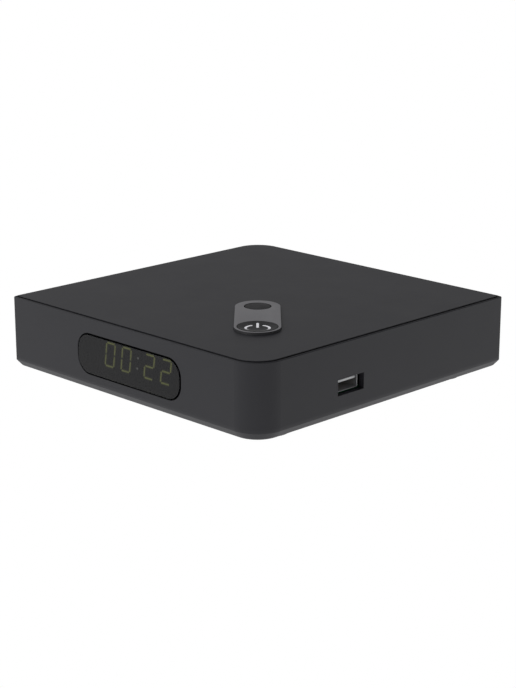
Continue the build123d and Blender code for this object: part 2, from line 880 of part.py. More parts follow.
# ================================================================ tuner and the satellite inputs
tuner_rear_y = rear_inner_y - tuner_rear_gap
tuner_top_z = board_top_z + tuner_height
tuner_middle_y = tuner_rear_y - tuner_length / 2

with BuildPart() as tuner_frame:
    with BuildSketch(Plane.XY.offset(board_top_z)):
        with Locations((tuner_x, tuner_middle_y)):
            Rectangle(tuner_width, tuner_length)
            Rectangle(
                tuner_width - 2 * tuner_wall,
                tuner_length - 2 * tuner_wall,
                mode=Mode.SUBTRACT,
            )
            # A partition between the two inputs.
            Rectangle(tuner_wall, tuner_length - 2 * tuner_wall)
    extrude(amount=tuner_height)
tuner_frame.part.label = "tuner_frame"

with BuildPart() as tuner_cover:
    outer_width = tuner_width + 2 * (tuner_wall + tuner_cover_gap)
    outer_length = tuner_length + tuner_wall + tuner_cover_gap
    cover_middle_y = tuner_rear_y - outer_length / 2
    with BuildSketch(Plane.XY.offset(tuner_top_z)):
        with Locations((tuner_x, cover_middle_y)):
            Rectangle(outer_width, outer_length)
    extrude(amount=tuner_wall)
    # Its lip goes round three sides and leaves the side with the connectors free.
    with BuildSketch(Plane.XY.offset(tuner_top_z)):
        with Locations((tuner_x, cover_middle_y)):
            Rectangle(outer_width, outer_length)
        with Locations((tuner_x, tuner_middle_y + tuner_wall)):
            Rectangle(
                tuner_width + 2 * tuner_cover_gap,
                tuner_length + 2 * tuner_cover_gap + 2 * tuner_wall,
                mode=Mode.SUBTRACT,
            )
    extrude(amount=-tuner_skirt)
tuner_cover.part.label = "tuner_cover"


def lnb_connector(x):
    """A threaded coaxial inlet: collar against the tuner, barrel out through the rear wall, open at the end."""
    with BuildPart() as inlet:
        with BuildSketch(facing_front(tuner_rear_y)):
            with Locations((x, board_top_z + lnb_rise)):
                Circle(lnb_collar_r)
        extrude(amount=-tuner_rear_gap + press_gap)
        with BuildSketch(facing_front(tuner_rear_y)):
            with Locations((x, board_top_z + lnb_rise)):
                Circle(lnb_shoulder_r)
        extrude(amount=tuner_rear_y - rear_y)
        with BuildSketch(facing_front(rear_y)):
            with Locations((x, board_top_z + lnb_rise)):
                Circle(lnb_thread_r)
        extrude(amount=-lnb_reach)
        chamfer(inlet.faces().sort_by(Axis.Y)[-1].edges(), lnb_edge)
        with BuildSketch(facing_front(rear_y + lnb_reach)):
            with Locations((x, board_top_z + lnb_rise)):
                Circle(lnb_bore_r)
        extrude(amount=rear_y + lnb_reach - tuner_rear_y - lnb_base, mode=Mode.SUBTRACT)
    return inlet


lnb_connector_1 = lnb_connector(lnb_x[0])
lnb_connector_1.part.label = "lnb_connector_1"
lnb_connector_2 = lnb_connector(lnb_x[1])
lnb_connector_2.part.label = "lnb_connector_2"

with BuildPart() as lnb_insulators:
    insulator_y = rear_y + lnb_reach - lnb_insulator_setback
    with BuildSketch(facing_front(insulator_y)):
        with Locations(*[(x, board_top_z + lnb_rise) for x in lnb_x]):
            Circle(lnb_bore_r - press_gap)
    extrude(amount=insulator_y - tuner_rear_y - lnb_base)
    with BuildSketch(facing_front(insulator_y)):
        with Locations(*[(x, board_top_z + lnb_rise) for x in lnb_x]):
            Circle(lnb_contact_r)
    extrude(amount=lnb_contact_depth, mode=Mode.SUBTRACT)
lnb_insulators.part.label = "lnb_insulators"

# ================================================================ network, video, sound and power sockets
socket_face_y = rear_y - socket_setback

with BuildPart() as ethernet_socket:
    with BuildSketch(facing_front(socket_face_y)):
        with Locations((ethernet_x, board_top_z)):
            Rectangle(ethernet_width, ethernet_height, align=(Align.CENTER, Align.MIN))
    extrude(amount=ethernet_length)
    # The mouth for the plug, with the notch for its latch below it.
    mouth_z = board_top_z + ethernet_mouth_rise + ethernet_latch_height
    with BuildSketch(facing_front(socket_face_y)):
        with Locations((ethernet_x, mouth_z)):
            Rectangle(
                ethernet_mouth_width,
                ethernet_mouth_height,
                align=(Align.CENTER, Align.MIN),
            )
            Rectangle(
                ethernet_latch_width,
                ethernet_latch_height,
                align=(Align.CENTER, Align.MAX),
            )
    extrude(amount=ethernet_mouth_depth, mode=Mode.SUBTRACT)
ethernet_socket.part.label = "ethernet_socket"

with BuildPart() as ethernet_contacts:
    contact_z = mouth_z + ethernet_mouth_height - ethernet_contact
    with BuildSketch(facing_front(socket_face_y - ethernet_mouth_depth)):
        with Locations((ethernet_x, contact_z)):
            with GridLocations(ethernet_contact_pitch, 1, ethernet_contact_count, 1):
                Rectangle(
                    ethernet_contact,
                    ethernet_contact,
                    align=(Align.CENTER, Align.MIN),
                )
    extrude(amount=-ethernet_contact_length)
ethernet_contacts.part.label = "ethernet_contacts"


def hdmi_outline(inset):
    """The socket's flat-topped outline with its two lower corners cut, pulled in by inset."""
    half = hdmi_width / 2 - inset
    low = board_top_z + inset
    high = board_top_z + hdmi_height - inset
    with BuildSketch(facing_front(socket_face_y)) as outline:
        with BuildLine():
            Polyline(
                (hdmi_x - half, high),
                (hdmi_x + half, high),
                (hdmi_x + half, low + hdmi_chamfer),
                (hdmi_x + half - hdmi_chamfer, low),
                (hdmi_x - half + hdmi_chamfer, low),
                (hdmi_x - half, low + hdmi_chamfer),
                (hdmi_x - half, high),
            )
        make_face()
    return outline.sketch


with BuildPart() as hdmi_shell:
    extrude(hdmi_outline(0), amount=hdmi_length)
    extrude(hdmi_outline(hdmi_wall), amount=hdmi_length - hdmi_wall, mode=Mode.SUBTRACT)
hdmi_shell.part.label = "hdmi_shell"

with BuildPart() as hdmi_tongue:
    # The blade that carries the contacts, with the block at its root that fills the shell.
    block_y = socket_face_y - hdmi_length + hdmi_wall
    with BuildSketch(facing_front(block_y)):
        with Locations((hdmi_x, board_top_z + hdmi_height / 2)):
            Rectangle(hdmi_tongue_width, hdmi_tongue_height)
    extrude(amount=block_y - socket_face_y + hdmi_tongue_setback)
    with BuildSketch(facing_front(block_y)):
        with Locations((hdmi_x, board_top_z + hdmi_height / 2)):
            Rectangle(
                hdmi_tongue_width,
                hdmi_height - 2 * hdmi_wall - 2 * press_gap,
            )
    extrude(amount=-hdmi_block_length)
hdmi_tongue.part.label = "hdmi_tongue"

with BuildPart() as av_jack:
    av_z = board_top_z + av_height / 2
    with BuildSketch(facing_front(rear_inner_y - socket_setback)):
        with Locations((av_x, av_z)):
            Rectangle(av_width, av_height)
    extrude(amount=av_length)
    with BuildSketch(facing_front(rear_inner_y - socket_setback)):
        with Locations((av_x, av_z)):
            Circle(av_collar_r)
    extrude(amount=rear_inner_y - socket_setback - socket_face_y)
    with BuildSketch(facing_front(socket_face_y)):
        with Locations((av_x, av_z)):
            Circle(av_bore_r)
    extrude(amount=av_length, mode=Mode.SUBTRACT)
av_jack.part.label = "av_jack"

with BuildPart() as dc_jack:
    dc_z = board_top_z + dc_rise
    with BuildSketch(facing_front(socket_face_y)):
        with Locations((dc_x, board_top_z)):
            Rectangle(dc_width, dc_height, align=(Align.CENTER, Align.MIN))
    extrude(amount=dc_length)
    with BuildSketch(facing_front(socket_face_y)):
        with Locations((dc_x, dc_z)):
            Circle(dc_bore_r)
    extrude(amount=dc_length - dc_pin_setback, mode=Mode.SUBTRACT)
dc_jack.part.label = "dc_jack"

with BuildPart() as dc_jack_pin:
    with BuildSketch(facing_front(socket_face_y - dc_length + dc_pin_setback)):
        with Locations((dc_x, dc_z)):
            Circle(dc_pin_r)
    extrude(amount=-(dc_length - 2 * dc_pin_setback))
dc_jack_pin.part.label = "dc_jack_pin"

# ================================================================ USB socket in the right wall
usb_face_x = right_x - usb_setback
usb_middle_y = centre_y + usb_y
usb_cavity_height = usb_shell_height - 2 * usb_shell_wall
usb_cavity_width = usb_shell_width - 2 * usb_shell_wall
tongue_z = usb_centre_z + usb_tongue_rise

with BuildPart() as usb_shell:
    with BuildSketch(Plane.YZ.offset(usb_face_x)):
        with Locations((usb_middle_y, usb_centre_z)):
            RectangleRounded(usb_shell_width, usb_shell_height, usb_shell_r)
    extrude(amount=-usb_shell_length)
    with BuildSketch(Plane.YZ.offset(usb_face_x)):
        with Locations((usb_middle_y, usb_centre_z)):
            RectangleRounded(usb_cavity_width, usb_cavity_height, usb_shell_r - usb_shell_wall)
    extrude(amount=-usb_shell_length + usb_shell_wall, mode=Mode.SUBTRACT)
usb_shell.part.label = "usb_shell"

with BuildPart() as usb_tongue:
    root_x = usb_face_x - usb_shell_length + usb_shell_wall
    with BuildSketch(Plane.YZ.offset(root_x)):
        with Locations((usb_middle_y, tongue_z)):
            Rectangle(usb_tongue_width, usb_tongue_height)
    extrude(amount=usb_shell_length - usb_shell_wall - usb_tongue_setback)
    with BuildSketch(Plane.YZ.offset(root_x)):
        with Locations((usb_middle_y, usb_centre_z)):
            Rectangle(usb_tongue_width, usb_cavity_height - 2 * press_gap)
    extrude(amount=usb_block_length)
usb_tongue.part.label = "usb_tongue"

with BuildPart() as usb_contacts:
    with BuildSketch(Plane.YZ.offset(root_x + usb_block_length)):
        with Locations((usb_middle_y, tongue_z - usb_tongue_height / 2)):
            with GridLocations(usb_contact_pitch, 1, usb_contact_count, 1):
                Rectangle(
                    usb_contact_width,
                    usb_contact_height,
                    align=(Align.CENTER, Align.MAX),
                )
    extrude(amount=usb_contact_length)
usb_contacts.part.label = "usb_contacts"

# ================================================================ feet and case screws
with BuildPart() as rubber_feet:
    with BuildSketch(Plane.XY):
        with Locations(*foot_spots):
            Circle(foot_r)
    extrude(amount=foot_drop)
    lower_rims = rubber_feet.edges().group_by(Axis.Z)[0]
    chamfer(lower_rims, foot_edge)
rubber_feet.part.label = "rubber_feet"

with BuildPart() as case_screws:
    shelf_z = post_top_z - well_shelf
    with BuildSketch(Plane.XY.offset(shelf_z)):
        with Locations(*post_spots):
            RegularPolygon(case_head_r, head_sides)
    extrude(amount=-case_head_height)
    with BuildSketch(Plane.XY.offset(shelf_z)):
        with Locations(*post_spots):
            RegularPolygon(case_shank_r, shank_sides)
    extrude(amount=case_shank_length)
case_screws.part.label = "case_screws"

# ================================================================ one file for each piece
pieces = (
    bottom_housing,
    top_cover,
    control_bezel,
    status_lens,
    power_button,
    button_light_guide,
    key_board,
    key_board_screws,
    tact_switch,
    switch_plunger,
    power_leds,
    status_led,
    key_board_socket,
    main_board_socket,
    key_cable,
    display_window,
    display_module,
    display_board,
    ir_receiver,
    display_header,
    main_board,
    board_screws,
    processor,
    thermal_pad,
    heatsink,
    memory_chips,
    flash_chip,
    demodulator_chip,
    inductors,
    capacitors,
    crystal,
    tuner_frame,
    tuner_cover,
    lnb_connector_1,
    lnb_connector_2,
    lnb_insulators,
    ethernet_socket,
    ethernet_contacts,
    hdmi_shell,
    hdmi_tongue,
    av_jack,
    dc_jack,
    dc_jack_pin,
    usb_shell,
    usb_tongue,
    usb_contacts,
    rubber_feet,
    case_screws,
)
os.makedirs("parts", exist_ok=True)
for piece in pieces:
    export_step(piece.part, f"parts/{piece.part.label}.step")
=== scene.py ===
"""Finished looks of a small satellite receiver, built around its CAD frame and laid out as a Blender add-on."""

import math

import bmesh
import bpy
from mathutils import Matrix, Vector


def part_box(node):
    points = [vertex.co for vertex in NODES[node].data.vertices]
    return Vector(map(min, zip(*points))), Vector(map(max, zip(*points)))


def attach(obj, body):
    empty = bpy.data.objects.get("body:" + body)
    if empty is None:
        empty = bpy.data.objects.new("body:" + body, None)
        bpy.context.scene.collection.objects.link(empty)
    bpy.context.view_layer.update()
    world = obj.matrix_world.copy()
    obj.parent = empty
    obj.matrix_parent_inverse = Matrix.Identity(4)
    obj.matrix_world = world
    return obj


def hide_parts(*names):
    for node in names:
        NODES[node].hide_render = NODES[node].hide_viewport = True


bl_info = {
    "name": "Satellite Receiver Looks",
    "version": (1, 0, 0),
    "blender": (4, 5, 0),
    "location": "View3D > Sidebar > Receiver",
    "description": "Builds the finished pieces, materials and stage of a satellite receiver around its CAD frame",
    "category": "Object",
}

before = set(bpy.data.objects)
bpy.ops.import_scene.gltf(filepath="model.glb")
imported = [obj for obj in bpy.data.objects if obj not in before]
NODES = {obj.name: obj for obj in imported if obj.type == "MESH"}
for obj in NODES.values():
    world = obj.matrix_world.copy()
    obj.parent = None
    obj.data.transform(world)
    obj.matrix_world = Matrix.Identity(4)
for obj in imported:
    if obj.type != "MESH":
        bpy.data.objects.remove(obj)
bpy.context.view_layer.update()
MM = 0.001
TURN = 2 * math.pi

# Corners nearer than this are one corner.
MERGE = 0.0005 * MM

# Two directions whose dot product is above this point the same way.
ALIKE = 0.9

# How far each digit of the clock leans, and how far each pair stands from the colon beyond an even pitch.
SLANT = math.tan(math.radians(8))
PAIR_GAP = 2.1 * MM

# Turns +X to the diagonal that runs to the round corner at the front right, along which the raised panel lies.
DIAGONAL = Matrix.Rotation(-math.pi / 4, 4, "Z")


# ---------------------------------------------------------------- colours and nodes
def linear(code):
    """A hex sRGB colour such as 3f3f41 as linear red, green and blue."""
    parts = [int(code[i : i + 2], 16) / 255 for i in (0, 2, 4)]
    return tuple(c / 12.92 if c <= 0.04045 else ((c + 0.055) / 1.055) ** 2.4 for c in parts)


def grain(size):
    """The scale that gives a pattern features of that many millimetres on coordinates in metres."""
    return 1.0 / (size * MM)


def add(tree, kind, settings, inputs):
    """Adds one node with its settings, and sets its inputs or links them to another node's output."""
    node = tree.nodes.new(kind)
    for name, value in settings.items():
        setattr(node, name, value)
    for name, value in inputs.items():
        if isinstance(value, bpy.types.NodeSocket):
            tree.links.new(value, node.inputs[name])
        else:
            node.inputs[name].default_value = value
    return node


def start_material(name):
    """An empty material with its Principled shader, its output and the piece's own coordinates."""
    material = bpy.data.materials.new(name)
    material.use_nodes = True
    tree = material.node_tree
    tree.nodes.clear()
    shader = add(tree, "ShaderNodeBsdfPrincipled", {}, {})
    add(tree, "ShaderNodeOutputMaterial", {}, {"Surface": shader.outputs["BSDF"]})
    place = add(tree, "ShaderNodeTexCoord", {}, {}).outputs["Object"]
    return material, tree, shader, place


def mottle(tree, shader, place, colour, size, amount, detail=2.0):
    """Colours the shader with a soft mottle of that size in millimetres around one colour."""
    noise = add(tree, "ShaderNodeTexNoise", {}, {"Vector": place, "Scale": grain(size), "Detail": detail})
    low = [c * (1 - amount) for c in colour]
    high = [c * (1 + amount) for c in colour]
    mix = add(tree, "ShaderNodeMix", {"data_type": "RGBA"}, {})
    mix.inputs[6].default_value = (*low, 1)
    mix.inputs[7].default_value = (*high, 1)
    tree.links.new(noise.outputs["Fac"], mix.inputs[0])
    tree.links.new(mix.outputs[2], shader.inputs["Base Color"])
    return mix.outputs[2]


def uneven_gloss(tree, shader, place, size, low, high):
    """Lets the roughness wander between two values over that many millimetres."""
    noise = add(tree, "ShaderNodeTexNoise", {}, {"Vector": place, "Scale": grain(size), "Detail": 3.0})
    spread = add(
        tree,
        "ShaderNodeMapRange",
        {},
        {"Value": noise.outputs["Fac"], "From Min": 0.3, "From Max": 0.7, "To Min": low, "To Max": high},
    )
    tree.links.new(spread.outputs["Result"], shader.inputs["Roughness"])


def relief(tree, shader, height, depth):
    """Raises the surface by a pattern's height over that many millimetres."""
    bump = add(tree, "ShaderNodeBump", {}, {"Height": height, "Strength": 1.0, "Distance": depth * MM})
    tree.links.new(bump.outputs["Normal"], shader.inputs["Normal"])


def noise_height(tree, place, size, detail=2.0):
    """The height of a grain of that size in millimetres."""
    noise = add(tree, "ShaderNodeTexNoise", {}, {"Vector": place, "Scale": grain(size), "Detail": detail})
    return noise.outputs["Fac"]


# ---------------------------------------------------------------- materials
def textured_abs():
    """Moulded ABS with a fine spark-eroded texture: a soft sheen that has no sharp reflection."""
    material, tree, shader, place = start_material("textured_abs")
    mottle(tree, shader, place, looks().housing, 9.0, 0.02)
    uneven_gloss(tree, shader, place, 14.0, 0.435, 0.455)
    # Real texture is about 0.05 mm, too fine to show, so it is drawn at 0.45 mm.
    relief(tree, shader, noise_height(tree, place, 0.45), 0.006)
    shader.inputs["IOR"].default_value = 1.53
    shader.inputs["Specular IOR Level"].default_value = 0.25
    return material


def satin_lacquer():
    """Lacquered ABS: a lighter grey skin with a very fine, even satin."""
    material, tree, shader, place = start_material("satin_lacquer")
    mottle(tree, shader, place, looks().panel, 5.0, 0.02)
    uneven_gloss(tree, shader, place, 8.0, 0.38, 0.44)
    relief(tree, shader, noise_height(tree, place, 0.4), 0.003)
    shader.inputs["IOR"].default_value = 1.5
    shader.inputs["Specular IOR Level"].default_value = 0.4
    return material


def polished_abs(name, colour, roughness, shine=0.5):
    """Dark ABS from a polished mould: glossy, with a faint waviness from the moulding."""
    material, tree, shader, place = start_material(name)
    mottle(tree, shader, place, colour, 6.0, 0.03)
    uneven_gloss(tree, shader, place, 6.0, roughness * 0.85, roughness * 1.15)
    relief(tree, shader, noise_height(tree, place, 3.0), 0.004)
    shader.inputs["IOR"].default_value = 1.53
    shader.inputs["Specular IOR Level"].default_value = shine
    return material


def smoked_acrylic():
    """Smoked cast acrylic: dark and see-through at once, polished, with hardly any waviness."""
    material, tree, shader, place = start_material("smoked_acrylic")
    mottle(tree, shader, place, looks().window, 20.0, 0.04)
    uneven_gloss(tree, shader, place, 10.0, 0.16, 0.2)
    shader.inputs["IOR"].default_value = 1.49
    shader.inputs["Specular IOR Level"].default_value = 0.235
    # Light passes both faces of the lens, so each takes its share.
    shader.inputs["Alpha"].default_value = 0.86
    return material


def display_resin():
    """Black epoxy that fills a digit display, matt so that only the lit segments show."""
    material, tree, shader, place = start_material("display_resin")
    mottle(tree, shader, place, looks().display_face, 2.0, 0.08)
    uneven_gloss(tree, shader, place, 2.0, 0.55, 0.7)
    relief(tree, shader, noise_height(tree, place, 0.5), 0.002)
    return material


def lit_segment():
    """The milky diffuser of a lit segment: it glows a little unevenly."""
    material, tree, shader, place = start_material("lit_segment")
    colour = looks().digits
    noise = add(tree, "ShaderNodeTexNoise", {}, {"Vector": place, "Scale": grain(1.2), "Detail": 2.0})
    glow = add(tree, "ShaderNodeMix", {"data_type": "RGBA"}, {})
    glow.inputs[6].default_value = (*[c * 0.8 for c in colour], 1)
    glow.inputs[7].default_value = (*[c * 1.2 for c in colour], 1)
    tree.links.new(noise.outputs["Fac"], glow.inputs[0])
    tree.links.new(glow.outputs[2], shader.inputs["Emission Color"])
    tree.links.new(glow.outputs[2], shader.inputs["Base Color"])
    # The smoked window takes most of this light.
    shader.inputs["Emission Strength"].default_value = 8.7
    shader.inputs["Roughness"].default_value = 0.5
    return material


def segment_painted_glow():
    """A painted glow on the resin close round a lit segment, standing for the little of its light that spreads
    there.
    """
    material, tree, shader, place = start_material("segment_painted_glow")
    mix = mottle(tree, shader, place, [c * 0.08 for c in looks().digits], 1.0, 0.1)
    tree.links.new(mix, shader.inputs["Emission Color"])
    # Painted light: the resin's glow is an emission of its own, not light from the segments.
    shader.inputs["Emission Strength"].default_value = 16.0
    shader.inputs["Roughness"].default_value = 0.6
    return material


def dim_diffuser():
    """The milky diffuser of the colon's two dots, which glow only a little."""
    material, tree, shader, place = start_material("dim_diffuser")
    mix = mottle(tree, shader, place, linear("8c8e8a"), 0.8, 0.1)
    tree.links.new(mix, shader.inputs["Emission Color"])
    shader.inputs["Emission Strength"].default_value = 10.0
    shader.inputs["Roughness"].default_value = 0.5
    return material


def sign_with_painted_light():
    """A white sign printed in the cap, with painted light on it: a painted shade darkens it to the cap's grey
    towards the near rim, and it has a faint painted glow.
    """
    material, tree, shader, place = start_material("sign_with_painted_light")
    bright_end, painted_shade_end = 1.6 * MM, 5.4 * MM
    turned = add(
        tree,
        "ShaderNodeMapping",
        {"vector_type": "TEXTURE"},
        {"Vector": place, "Location": middle_of("power_button"), "Rotation": (0, 0, -math.pi / 4)},
    )
    split = add(tree, "ShaderNodeSeparateXYZ", {}, {"Vector": turned.outputs["Vector"]})
    # Painted shade: along the diagonal the sign goes from white to the cap's dark grey towards the near rim.
    painted_fade = add(
        tree,
        "ShaderNodeMapRange",
        {"interpolation_type": "SMOOTHSTEP"},
        {
            "Value": split.outputs["X"],
            "From Min": bright_end,
            "From Max": painted_shade_end,
            "To Min": 0.0,
            "To Max": 1.0,
        },
    )
    mix = add(tree, "ShaderNodeMix", {"data_type": "RGBA"}, {})
    mix.inputs[6].default_value = (*looks().sign, 1)
    mix.inputs[7].default_value = (*looks().button, 1)
    tree.links.new(painted_fade.outputs["Result"], mix.inputs[0])
    tree.links.new(mix.outputs[2], shader.inputs["Base Color"])
    tree.links.new(mix.outputs[2], shader.inputs["Emission Color"])
    # A faint painted glow in the same white-to-grey colours, so the glow also fades towards the near rim.
    shader.inputs["Emission Strength"].default_value = 0.2
    shader.inputs["Roughness"].default_value = 0.35
    return material


def plated_steel(name, colour, roughness):
    """Thin sheet steel with a tin or nickel plating: a blurred metal sheen with rolling lines along the strip."""
    material, tree, shader, place = start_material(name)
    mottle(tree, shader, place, colour, 1.5, 0.06)
    stretched = add(tree, "ShaderNodeMapping", {}, {"Vector": place, "Scale": (1.0, 1.0, 12.0)})
    rolling = noise_height(tree, stretched.outputs["Vector"], 1.6, 4.0)
    relief(tree, shader, rolling, 0.004)
    uneven_gloss(tree, shader, place, 2.0, roughness * 0.8, roughness * 1.2)
    shader.inputs["Metallic"].default_value = 1.0
    return material


def moulded_nylon(name, colour, roughness):
    """Glass-filled nylon of connector bodies: matt, with a slight flow mottle."""
    material, tree, shader, place = start_material(name)
    mottle(tree, shader, place, colour, 1.8, 0.06, 4.0)
    uneven_gloss(tree, shader, place, 2.5, roughness * 0.9, roughness * 1.1)
    relief(tree, shader, noise_height(tree, place, 0.3), 0.004)
    shader.inputs["IOR"].default_value = 1.53
    return material


def solder_mask():
    """A glass-epoxy board under green solder mask: copper tracks show as lighter ridges about 0.8 mm apart."""
    material, tree, shader, place = start_material("solder_mask")
    tracks = add(
        tree,
        "ShaderNodeTexBrick",
        {"offset": 0.5, "squash": 1.0},
        {
            "Vector": place,
            "Scale": grain(8.0),
            "Mortar Size": 0.06,
            "Mortar Smooth": 0.2,
            "Brick Width": 1.3,
            "Row Height": 0.1,
            "Color1": (*linear("0f4a2a"), 1),
            "Color2": (*linear("125233"), 1),
            "Mortar": (*linear("1f6b45"), 1),
        },
    )
    tree.links.new(tracks.outputs["Color"], shader.inputs["Base Color"])
    relief(tree, shader, tracks.outputs["Fac"], 0.03)
    shader.inputs["Roughness"].default_value = 0.3
    return material


def extruded_aluminium():
    """Extruded aluminium with a clear finish: drawn lines along the fins and a soft metal sheen."""
    material, tree, shader, place = start_material("extruded_aluminium")
    mottle(tree, shader, place, linear("c8cacd"), 4.0, 0.05)
    drawn = add(tree, "ShaderNodeMapping", {}, {"Vector": place, "Scale": (1.0, 0.05, 1.0)})
    relief(tree, shader, noise_height(tree, drawn.outputs["Vector"], 0.4, 4.0), 0.01)
    uneven_gloss(tree, shader, place, 3.0, 0.3, 0.42)
    shader.inputs["Metallic"].default_value = 1.0
    return material


def moulded_rubber():
    """Moulded EPDM rubber: deep black, matt, with a dusty bloom."""
    material, tree, shader, place = start_material("moulded_rubber")
    mottle(tree, shader, place, looks().rubber, 3.0, 0.2, 5.0)
    uneven_gloss(tree, shader, place, 4.0, 0.7, 0.85)
    relief(tree, shader, noise_height(tree, place, 0.35, 4.0), 0.02)
    return material


def soft_silicone():
    """Filled silicone of a thermal pad: chalky and soft, with pores."""
    material, tree, shader, place = start_material("soft_silicone")
    mottle(tree, shader, place, linear("a9a9b5"), 0.8, 0.08, 4.0)
    relief(tree, shader, noise_height(tree, place, 0.6, 4.0), 0.03)
    shader.inputs["Roughness"].default_value = 0.8
    return material


def ribbon_film():
    """A white polyester ribbon lead: the tinned wires inside show as grey stripes about 1 mm apart."""
    material, tree, shader, place = start_material("ribbon_film")
    turned = add(tree, "ShaderNodeMapping", {}, {"Vector": place, "Rotation": (0, 0, math.pi / 4)})
    stripes = add(
        tree,
        "ShaderNodeTexWave",
        {"wave_type": "BANDS", "bands_direction": "Y", "wave_profile": "SIN"},
        {"Vector": turned.outputs["Vector"], "Scale": grain(1.0) / 20, "Distortion": 0.0},
    )
    mix = add(tree, "ShaderNodeMix", {"data_type": "RGBA"}, {})
    mix.inputs[6].default_value = (*linear("e6e6e2"), 1)
    mix.inputs[7].default_value = (*linear("a3a6a8"), 1)
    tree.links.new(stripes.outputs["Fac"], mix.inputs[0])
    tree.links.new(mix.outputs[2], shader.inputs["Base Color"])
    shader.inputs["Roughness"].default_value = 0.35
    return material


def clear_resin():
    """Clear epoxy of lamps and light guides: milky where it scatters the light."""
    material, tree, shader, place = start_material("clear_resin")
    mottle(tree, shader, place, linear("dcdcd4"), 1.5, 0.05)
    shader.inputs["Roughness"].default_value = 0.15
    shader.inputs["IOR"].default_value = 1.52
    return material


# ---------------------------------------------------------------- shapes
def middle_of(node):
    """The middle of a CAD node's box."""
    low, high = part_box(node)
    return (low + high) / 2


def keep(name, bm, body, materials, replaces=(), sharp=35):
    """Turns a finished bmesh into a piece that rides on a body and stands for the CAD nodes it replaces."""
    bmesh.ops.remove_doubles(bm, verts=bm.verts, dist=MERGE)
    bmesh.ops.recalc_face_normals(bm, faces=bm.faces)
    mesh = bpy.data.meshes.new(name)
    bm.to_mesh(mesh)
    bm.free()
    for material in materials:
        mesh.materials.append(material)
    for face in mesh.polygons:
        face.use_smooth = True
    mesh.set_sharp_from_angle(angle=math.radians(sharp))
    piece = bpy.data.objects.new(name, mesh)
    bpy.context.scene.collection.objects.link(piece)
    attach(piece, body)
    if replaces:
        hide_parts(*replaces)
    return piece


def paint(bm, number, wanted):
    """Gives the faces that are wanted the piece's material of that number."""
    bm.normal_update()
    for face in bm.faces:
        if wanted(face):
            face.material_index = number


def dress(material, *names):
    """Gives CAD nodes a material through their objects' slots."""
    for name in names:
        for place in NODES[name].material_slots:
            place.material = material


def turn_profile(bm, points, steps=64, place=Matrix.Identity(4)):
    """Spins a profile of (radius, height) points in millimetres about Z, then puts the shape in its place."""
    line = [bm.verts.new((r * MM, 0, h * MM)) for r, h in points]
    edges = [bm.edges.new(pair) for pair in zip(line, line[1:])]
    if points[0][0] > 0:
        edges.append(bm.edges.new((line[-1], line[0])))
    before = set(bm.verts) - set(line)
    bmesh.ops.spin(
        bm, geom=line + edges, cent=(0, 0, 0), axis=(0, 0, 1), angle=TURN, steps=steps, use_merge=True
    )
    made = [v for v in bm.verts if v not in before]
    bmesh.ops.remove_doubles(bm, verts=made, dist=MERGE)
    made = [v for v in bm.verts if v not in before]
    bmesh.ops.transform(bm, matrix=place, verts=made)
    return made


def round_corner(at, start, end, radius, steps=5):
    """Points of a rounded corner at a profile point, between its two neighbours, all in millimetres."""
    corner, first, last = (Vector((*p, 0)) for p in (at, start, end))
    one, two = (first - corner).normalized(), (last - corner).normalized()
    half = one.angle(two) / 2
    reach = radius / math.tan(half)
    centre = corner + (one + two).normalized() * (radius / math.sin(half))
    begin, stop = corner + one * reach - centre, corner + two * reach - centre
    sweep = math.atan2(begin.x * stop.y - begin.y * stop.x, begin.dot(stop))
    turns = [Matrix.Rotation(sweep * i / steps, 3, "Z") @ begin + centre for i in range(steps + 1)]
    return [(p.x, p.y) for p in turns]


def soften(points, radii):
    """A profile with some corners rounded: radii gives each rounded point's number and radius."""
    out = []
    for i, point in enumerate(points):
        if i in radii:
            out += round_corner(point, points[i - 1], points[(i + 1) % len(points)], radii[i])
        else:
            out.append(point)
    return out


def loop(bm, radius, half_length, height, centre, count=96, half_width=0.0):
    """A level outline in millimetres: a circle drawn out by half_length each way along X and half_width along Y."""
    made = bmesh.ops.create_circle(bm, segments=count, radius=radius * MM)["verts"]
    bmesh.ops.rotate(bm, verts=made, cent=(0, 0, 0), matrix=Matrix.Rotation(math.pi / count, 3, "Z"))
    for side in (-1, 1):
        half = [v for v in made if v.co.x * side > 0]
        bmesh.ops.translate(bm, verts=half, vec=(side * half_length * MM, 0, 0))
        half = [v for v in made if v.co.y * side > 0]
        bmesh.ops.translate(bm, verts=half, vec=(0, side * half_width * MM, 0))
    bmesh.ops.translate(bm, verts=made, vec=(centre * MM, 0, height * MM))
    return list({e for v in made for e in v.link_edges})


def skin(bm, loops):
    """Joins outlines one after the other with faces."""
    for lower, upper in zip(loops, loops[1:]):
        bmesh.ops.bridge_loops(bm, edges=lower + upper)


# ---------------------------------------------------------------- sizes and colours that a user would change
def length(name, description, size):
    """A length in metres with its default in millimetres."""
    return bpy.props.FloatProperty(
        name=name, description=description, default=size * MM, min=0.0, precision=5, unit="LENGTH"
    )


def colour(name, description, code):
    """A colour whose default is a hex sRGB code."""
    return bpy.props.FloatVectorProperty(
        name=name, description=description, subtype="COLOR", size=3, min=0.0, max=1.0, default=linear(code)
    )


class ReceiverLooks(bpy.types.PropertyGroup):
    """Colours of the receiver's finishes"""

    housing: colour("Housing", "Charcoal of the moulded tub and cover", "252529")
    panel: colour("Panel", "Grey of the raised panel", "727174")
    button: colour("Button", "Dark grey of the button's cap", "18181a")
    window: colour("Window", "Tint of the smoked window", "0a0a0d")
    display_face: colour("Display face", "Black of the digit display", "0c0c0d")
    digits: colour("Digits", "Yellow-green of the lit digits", "a9af63")
    sign: colour("Sign", "White of the standby sign", "e4e4e8")
    rubber: colour("Rubber", "Black of the feet", "141414")


